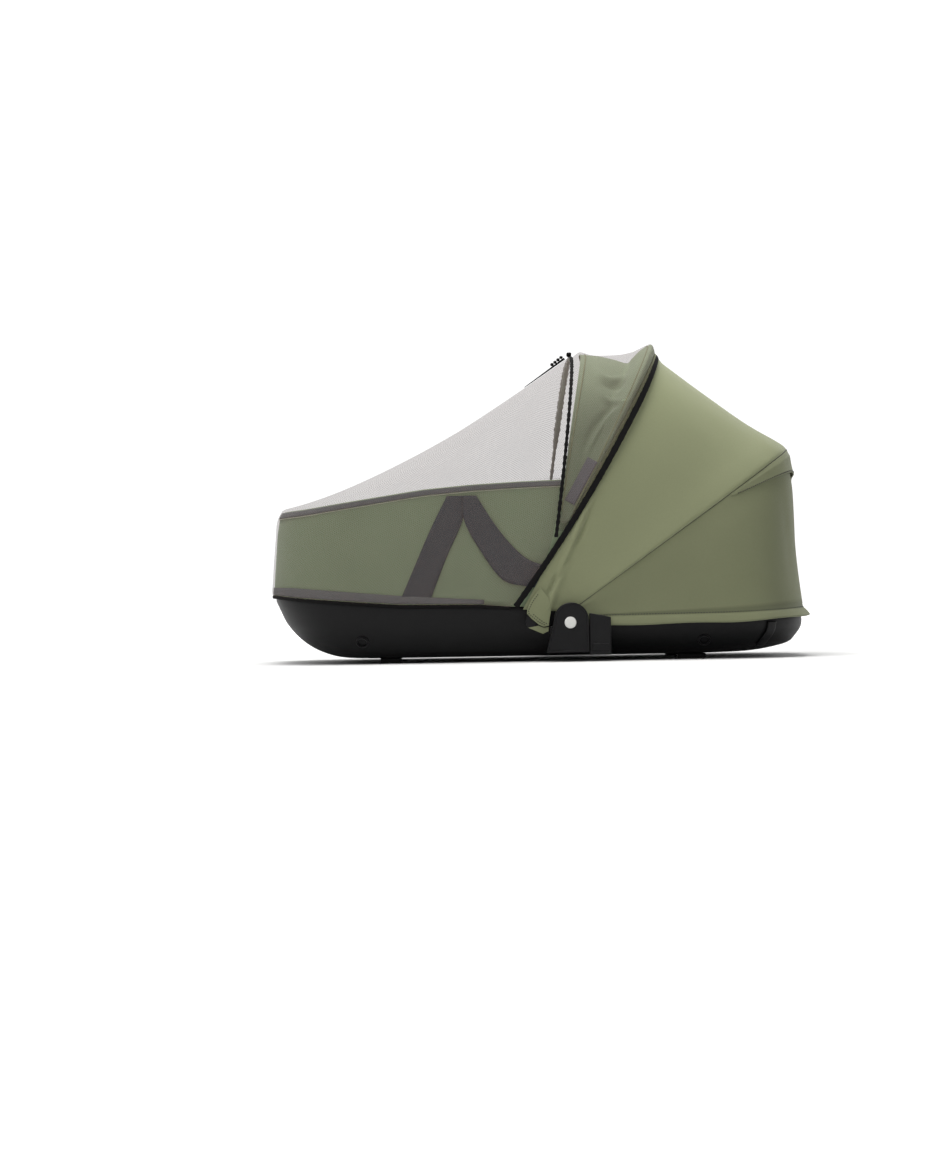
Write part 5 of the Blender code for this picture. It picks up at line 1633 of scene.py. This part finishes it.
@dataclass
class Net:
    """The mosquito net: two mesh panels and their gathered bindings."""

    palette: Palette
    hood: Surface
    off_wall: float = 0.0034
    foot_share: float = 0.50
    over_rim: float = 0.0047
    shoulder: tuple = (0.0035, 0.0034)
    rounding: float = 0.0100
    sag: float = 0.0230
    sag_skew: float = 0.5
    wave: float = 0.0009
    flare: float = 0.030
    columns: int = 50
    hood_columns: int = 30
    seam_size: tuple = (0.0050, 0.0030)
    rear_size: tuple = (0.0086, 0.0030)
    hem_size: tuple = (0.0046, 0.0030)
    seam_gap: float = 0.0004
    rear_lean: float = 1.30
    crown_draw: float = 0.0030
    crown_narrowing: float = 0.35
    wall_rows: tuple = (
        WallRow(-0.0065, -0.0014), WallRow(0.050, 0.0006), WallRow(0.130, 0.0004),
        WallRow(0.390, 0.0008), WallRow(0.660, 0.0004), WallRow(0.880, 0.0), WallRow(1.000, -0.0004),
    )
    top_shares: tuple = (0.045, 0.11, 0.19, 0.28, 0.38, 0.49, 0.61, 0.74, 0.87, 1.0)
    panel_rows: tuple = (
        Row(0.0, 0.0, 0.0), Row(0.088, 0.0072, 0.0004), Row(0.19, 0.0038, 0.0004),
        Row(0.30, 0.0012, 0.0), Row(0.57, 0.0009, 0.0), Row(0.73, 0.0040, 0.0016),
        Row(0.80, 0.0072, 0.0026), Row(0.91, 0.0130, 0.0038), Row(0.955, 0.0141, 0.0032),
        Row(0.984, 0.0098, 0.0018), Row(1.0, 0.0, 0.0),
    )

    def build(self) -> np.ndarray:
        """Builds the net.

        Returns:
            The front panel's grid, for the trim on its crown.
        """
        fine = even(480)
        seam = resample(arch_line(SEAM_ARCH, SEAM_ARCH.base_z - 0.0012), fine)
        seam_out = arch_normals(seam)
        rear = resample(arch_line(BINDING_ARCH, BINDING_ARCH.base_z), fine)
        rear_out = arch_normals(rear, self.rear_lean)
        rear = rear + rear_out * (0.0009 + GAP + self.rear_size[1] / 2)
        rear = self.hood.clear(rear, rear_out, self.rear_size[0], GAP + self.rear_size[1] / 2 + 0.0002)
        rear -= crown_weights(len(rear), 0.30, 0.46)[:, None] * np.array([self.crown_draw, 0.0, 0.0])
        room = self.seam_size[0] / 2 + 0.0002
        ahead = beside(seam, seam_out, room)
        grid = self._front(ahead[ahead[:, 2] >= SEAM_TOP_Z])
        self._hood_panel(seam, seam_out, rear, rear_out)
        self._binding("seam_elastic", "net_seam_binding", seam, seam_out, self.seam_size, 0.21)
        self._binding("rear_elastic", "net_rear_binding", rear, rear_out, self.rear_size, 0.07)
        self._hem(grid, rear)
        return grid

    def _edge_x(self, height: float) -> float:
        """Where the front panel ends, just ahead of the bindings."""
        room = self.rear_size[0] / 2 + self.seam_gap
        behind = arch_at(BINDING_ARCH, height, -1.0)[0] - room * 1.2
        share = (height - SEAM_ARCH.base_z) / (SEAM_ARCH.crown_z - SEAM_ARCH.base_z)
        seam = SEAM_ARCH.base_x + (SEAM_ARCH.crown_x - SEAM_ARCH.base_x) * share
        return min(behind, seam - self.seam_size[0] / 2 - self.seam_gap)

    @staticmethod
    def _edge_y(height: float) -> float:
        """Half the width of the net where it meets its bindings."""
        if height < SEAM_ARCH.base_z:
            return SEAM_ARCH.half_width
        return abs(arch_at(SEAM_ARCH, height, -1.0)[1])

    def _wall_row(self, row: WallRow, shares: np.ndarray, level: float, lift: float) -> np.ndarray:
        """One row of the wall, flaring out to its bindings near both ends."""
        edge_x, edge_y = self._edge_x(level), self._edge_y(level)
        height = line_z(HEM_LINE, -0.2) + row.share * 0.13
        foot = wall_x(height + lift) - (self.off_wall + row.out) * self.foot_share
        half = TUB_HALF_WIDTH + self.off_wall + row.out
        line = resample(u_line(edge_x, foot, half, FOOT_CORNER + self.off_wall + row.out), shares)
        hem, top = line_z(HEM_LINE, line[:, 0]), line_z(RIM_LINE, line[:, 0])
        line[:, 2] = hem + row.share * (top - hem)
        line[:, 2] += lift * (1 - 0.8 * np.exp(-(edge_x - line[:, 0]) / self.flare))
        near_edge = np.exp(-(((edge_x - line[:, 0]) / self.flare) ** 1.5))
        grow = near_edge * (edge_y - half)
        line[:, 1] += np.sign(line[:, 1]) * grow * (np.abs(line[:, 1]) > half * 0.9)
        return line

    def _front(self, arch: np.ndarray) -> np.ndarray:
        """The large panel: up the walls from the hem, over the rim and up to the seam."""
        shares = even(self.columns)
        shares = shares - 0.25 * np.sin(2 * math.pi * shares) / (2 * math.pi)
        rows = []
        for row in self.wall_rows:
            level = 0.15
            for _ in range(4):
                x = self._edge_x(level)
                low, high = line_z(HEM_LINE, x), line_z(RIM_LINE, x)
                level = float(low + row.share * (high - low))
            rows.append(self._wall_row(row, shares, level, 0.0))
        for out, lift in ((self.shoulder[0], self.shoulder[1]), (self.rounding, self.over_rim)):
            level = float(line_z(RIM_LINE, 0.018) + lift)
            rows.append(self._wall_row(WallRow(1.0, -out), shares, level, lift))
        arch = resample(arch, shares)
        rim_row = rows[-1]
        middle = np.sin(math.pi * shares) ** 0.7
        for share in self.top_shares:
            row = rim_row + (arch - rim_row) * share
            sag = self.sag * middle * 4 * share * (1 - share) * (1 + self.sag_skew * (0.5 - share))
            wave = self.wave * np.sin(26 * shares + 9 * share) * middle * math.sin(math.pi * share)
            row[:, 2] += wave - sag
            rows.append(row)
        coarse = np.array(rows)
        grid = refined(coarse, 5, 4)
        panel = sheet("mesh_front_panel", grid, self.palette.mesh)
        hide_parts("net_front")
        return coarse

    def _hood_panel(self, seam: np.ndarray, seam_out: np.ndarray, rear: np.ndarray, rear_out: np.ndarray) -> None:
        """The panel over the visor, from the seam to the rear binding."""
        shares = even(self.hood_columns)
        behind = beside(seam, seam_out, -self.seam_size[0] / 2 - 0.0002)
        before = beside(rear, rear_out, self.rear_size[0] / 2 + 0.0002)
        first = resample(behind[behind[:, 2] >= PANEL_START_Z - 0.012], shares)
        last = resample(before[before[:, 2] >= PANEL_START_Z - 0.012], shares)
        grid = refined(across_panel(first, last, self.panel_rows), 5, 6)
        panel = sheet("mesh_hood_panel", grid, self.palette.mesh)
        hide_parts("net_hood_panel")

    def _binding(
        self, name: str, node: str, line: np.ndarray, out: np.ndarray, size: tuple, gather: float
    ) -> None:
        """A gathered binding whose width ripples along its length."""
        along = lengths(line)
        ripple = np.sin(along * 2 * math.pi / 0.0093) * 0.6 + np.sin(along * 2 * math.pi / 0.0217 + 1.0) * 0.4
        ribs = np.sin(along * 2 * math.pi / 0.0041 + 2.0 * np.sin(along * 90))
        slack = 0.8 * smooth((line[:, 1] - 0.02) / 0.08) * smooth((line[:, 2] - 0.30) / 0.04) * (gather > 0.2)
        scale = np.stack([1 + slack + gather * ripple * (1 + slack), 1 + gather * 0.9 * ribs], axis=1)
        if node == "net_rear_binding":
            scale *= (1 - self.crown_narrowing * crown_weights(len(line), 0.30, 0.46))[:, None]
        # Painted shade: the seam binding's pale inner face is painted darker towards the bottom, palest at the top.
        inside = 0.50 * smooth((0.40 - line[:, 2]) / 0.12) if node == "net_seam_binding" else None
        piece = sweep(name, line, out, size, self.palette.elastic, scale, 12, 0.8, inside)
        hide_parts(node)

    def _hem(self, grid: np.ndarray, rear: np.ndarray) -> None:
        """The thin elastic along the net's lower edge."""
        row = curve_through(grid[0], 6)
        out = plan_normals(row)
        line = row - out * 0.0015
        line[:, 2] -= self.hem_size[0] / 2
        keep = line[:, 0] < rear[0, 0] - self.rear_size[0] / 2 - 0.003
        line = resample(line[keep], even(420))
        self._binding("hem_elastic", "net_hem_binding", line, plan_normals(line), self.hem_size, 0.08)


def plan_normals(line: np.ndarray) -> np.ndarray:
    """Outward normals of a line that runs round the carrycot."""
    tangent = np.gradient(line, axis=0)
    normal = unit(np.stack([tangent[:, 1], -tangent[:, 0], 0 * tangent[:, 0]], axis=1))
    middle = line * np.array([1.0, 1.0, 0.0]) * normal
    return normal * np.sign(middle.sum(axis=1))[:, None]


@dataclass
class CrownTrim:
    """The knot on the seam's crown, the tapered tape on the ridge and the beaded pull."""

    palette: Palette
    grid: np.ndarray
    knot: Spot = Spot(x=0.0443, z=0.4402)
    tape_length: float = 0.074
    tape_size: tuple = (0.0090, 0.0034)
    pull_length: float = 0.024
    beads: int = 4
    bead_radius: float = 0.0026

    def build(self) -> None:
        """Builds the trim along the net's ridge."""
        ridge = self.grid[:, self.grid.shape[1] // 2][::-1][:10]
        fine = resample(curve_through(ridge, 12), even(300))
        along = lengths(fine)
        up = np.array([-0.60, 0.0, 0.80])
        self._tape(fine, along, up)
        self._pull(fine, along, up)
        self._knot()

    def _tape(self, fine: np.ndarray, along: np.ndarray, up: np.ndarray) -> None:
        """The tape, which tapers down along the ridge."""
        route = fine[(along > 0.003) & (along < 0.003 + self.tape_length)]
        line = resample(route, even(80))
        taper = np.linspace(1.0, 0.28, 81)
        line = line + up * (0.0007 + self.tape_size[1] / 2 * taper)[:, None]
        ripple = 1 + 0.06 * np.sin(even(80) * 90)
        scale = np.stack([taper * ripple, taper], axis=1)
        normals = np.tile(up, (81, 1))
        tape = sweep("ridge_elastic", line, normals, self.tape_size, self.palette.elastic, scale, 12)
        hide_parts("ridge_tape")

    def _pull(self, fine: np.ndarray, along: np.ndarray, up: np.ndarray) -> None:
        """The beads on their cord, with a loose pale tail."""
        route = fine[(along > 0.004) & (along < 0.004 + self.pull_length)]
        line = resample(route, even(self.beads * 2))
        height = 0.0009 + self.tape_size[1] * np.linspace(1.0, 0.65, len(line)) + self.bead_radius * 0.9
        line = line + up * height[:, None]
        thread = curve_through(line, 8)
        cord = sweep("pull_cord", thread, np.tile(up, (len(thread), 1)), (0.0009, 0.0009), self.palette.cord, sides=8)
        shape = bmesh.new()
        for index in range(self.beads):
            place = line[index * 2 + 1]
            made = bmesh.ops.create_icosphere(shape, subdivisions=3, radius=self.bead_radius)
            squeeze = Matrix.Diagonal((1.0, 0.92, 0.92 + 0.03 * (index % 2), 1.0))
            bmesh.ops.transform(shape, matrix=Matrix.Translation(place) @ squeeze, verts=made["verts"])
        mesh = bpy.data.meshes.new("pull_beads")
        shape.to_mesh(mesh)
        shape.free()
        mesh.shade_smooth()
        mesh.materials.append(self.palette.hinge)
        beads = bpy.data.objects.new("pull_beads", mesh)
        bpy.context.scene.collection.objects.link(beads)
        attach(beads, BODY)
        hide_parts("seam_pull")

    def _knot(self) -> None:
        """The small knot of gathered elastic."""
        turns = np.linspace(0, 2 * np.pi * 2.3, 90)
        reach = 0.0046 + 0.0008 * np.sin(turns * 3)
        line = np.stack([
            self.knot.x + 0.0016 * np.cos(turns * 1.5),
            reach * np.cos(turns),
            self.knot.z + 0.0006 + 0.0016 * np.sin(turns),
        ], axis=1)
        normals = unit(line - np.array([self.knot.x, 0.0, self.knot.z - 0.001]))
        knot = sweep("crown_knot", line, normals, (0.0042, 0.0038), self.palette.elastic, sides=12)
        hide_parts("seam_knot")


@dataclass
class Studio:
    """The pale floor, the soft light and the camera at the photograph's angle."""

    eye: tuple = (-0.2495, -5.8, 0.133)
    focal_pixels: float = 3996.0
    frame_pixels: tuple = (938, 1172)
    yaw: float = -1.415
    pitch: float = -0.252
    roll: float = -0.95
    sky: float = 0.50
    backdrop_y: float = 7.5
    floor_glow: float = 0.75
    key: float = 46.0
    top: float = 92.0

    def build(self) -> None:
        """Sets up floor, light and camera."""
        self._floor()
        self._backdrop()
        self._light()
        self._camera()

    def _floor(self) -> None:
        """A large pale floor, which glows white in the distance."""
        mesh = bpy.data.meshes.new("floor")
        reach = 30.0
        back = self.backdrop_y
        corners = [(-reach, -reach, 0.0), (reach, -reach, 0.0), (reach, back, 0.0), (-reach, back, 0.0)]
        mesh.from_pydata(corners, [], [(0, 1, 2, 3)])
        graph = Graph("pale_floor")
        tone = graph.noise(3.0, 2.0)
        graph.surface(Base_Color=graph.blend(tone, (0.66, 0.66, 0.66), (0.68, 0.68, 0.68)), Roughness=0.9)
        place = graph.node("ShaderNodeTexCoord", {}, {}, "Object")
        away = graph.node("ShaderNodeVectorMath", {"operation": "LENGTH"}, {0: place}, "Value")
        far = ((away - 1.0) / 1.2).held()
        graph.surface(Emission_Color=graph.blend(far, (0.0, 0.0, 0.0), (1.0, 1.0, 1.0)), Emission_Strength=self.floor_glow)
        mesh.materials.append(graph.material)
        floor = bpy.data.objects.new("floor", mesh)
        bpy.context.scene.collection.objects.link(floor)

    def _backdrop(self) -> None:
        """A white backdrop that glows, behind the carrycot and beyond a camera that circles it."""
        mesh = bpy.data.meshes.new("backdrop")
        wide, low, high = 4.0 * self.backdrop_y, -0.6 * self.backdrop_y, 4.0 * self.backdrop_y
        corners = [(-wide, 0.0, low), (wide, 0.0, low), (wide, 0.0, high), (-wide, 0.0, high)]
        mesh.from_pydata(corners, [], [(0, 1, 2, 3)])
        graph = Graph("white_backdrop")
        graph.surface(Base_Color=(0.0, 0.0, 0.0, 1.0), Specular_IOR_Level=0.0)
        graph.surface(Emission_Color=(1.0, 1.0, 1.0, 1.0), Emission_Strength=1.1)
        mesh.materials.append(graph.material)
        backdrop = bpy.data.objects.new("backdrop", mesh)
        backdrop.location = (0.0, self.backdrop_y, 0.0)
        bpy.context.scene.collection.objects.link(backdrop)

    def _light(self) -> None:
        """A white surround and a soft key from above."""
        world = bpy.data.worlds.new("white_surround")
        world.use_nodes = True
        back = world.node_tree.nodes["Background"]
        back.inputs["Color"].default_value = (1.0, 1.0, 1.0, 1.0)
        back.inputs["Strength"].default_value = self.sky
        bpy.context.scene.world = world
        for name, place, size, power in (
            ("key_light", (-0.7, -1.3, 2.6), 2.2, self.key),
            ("top_light", (-0.1, 0.2, 3.0), 2.4, self.top),
        ):
            lamp = bpy.data.lights.new(name, "AREA")
            lamp.shape = "DISK"
            lamp.size = size
            lamp.energy = power
            lamp.color = (1.0, 0.995, 0.985)
            light = bpy.data.objects.new(name, lamp)
            light.location = place
            aim = Vector((0.0, 0.0, 0.2)) - Vector(place)
            light.rotation_euler = aim.to_track_quat("-Z", "Y").to_euler()
            bpy.context.scene.collection.objects.link(light)
        bpy.context.scene.view_settings.view_transform = "Standard"

    def _camera(self) -> None:
        """The camera, level with the carrycot's side and slightly rolled."""
        data = bpy.data.cameras.new("camera")
        data.sensor_fit = "VERTICAL"
        data.sensor_height = 36.0
        data.lens = self.focal_pixels / self.frame_pixels[1] * data.sensor_height
        camera = bpy.data.objects.new("camera", data)
        turn = Matrix.Rotation(math.radians(self.yaw), 4, "Z")
        turn = turn @ Matrix.Rotation(math.radians(90 + self.pitch), 4, "X")
        turn = turn @ Matrix.Rotation(math.radians(self.roll), 4, "Z")
        camera.matrix_world = Matrix.Translation(self.eye) @ turn
        bpy.context.scene.collection.objects.link(camera)
        bpy.context.scene.camera = camera


def main() -> None:
    """Builds the sub-assemblies in order."""
    logging.basicConfig(level=logging.INFO, format="%(message)s")
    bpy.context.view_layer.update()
    Studio().build()
    palette = Palette()
    Base(palette).build()
    Hinges(palette).build()
    Tub(palette).build()
    hood = Hood(palette).build()
    grid = Net(palette, hood).build()
    CrownTrim(palette, grid).build()
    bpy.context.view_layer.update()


if __name__ == "__main__":
    main()
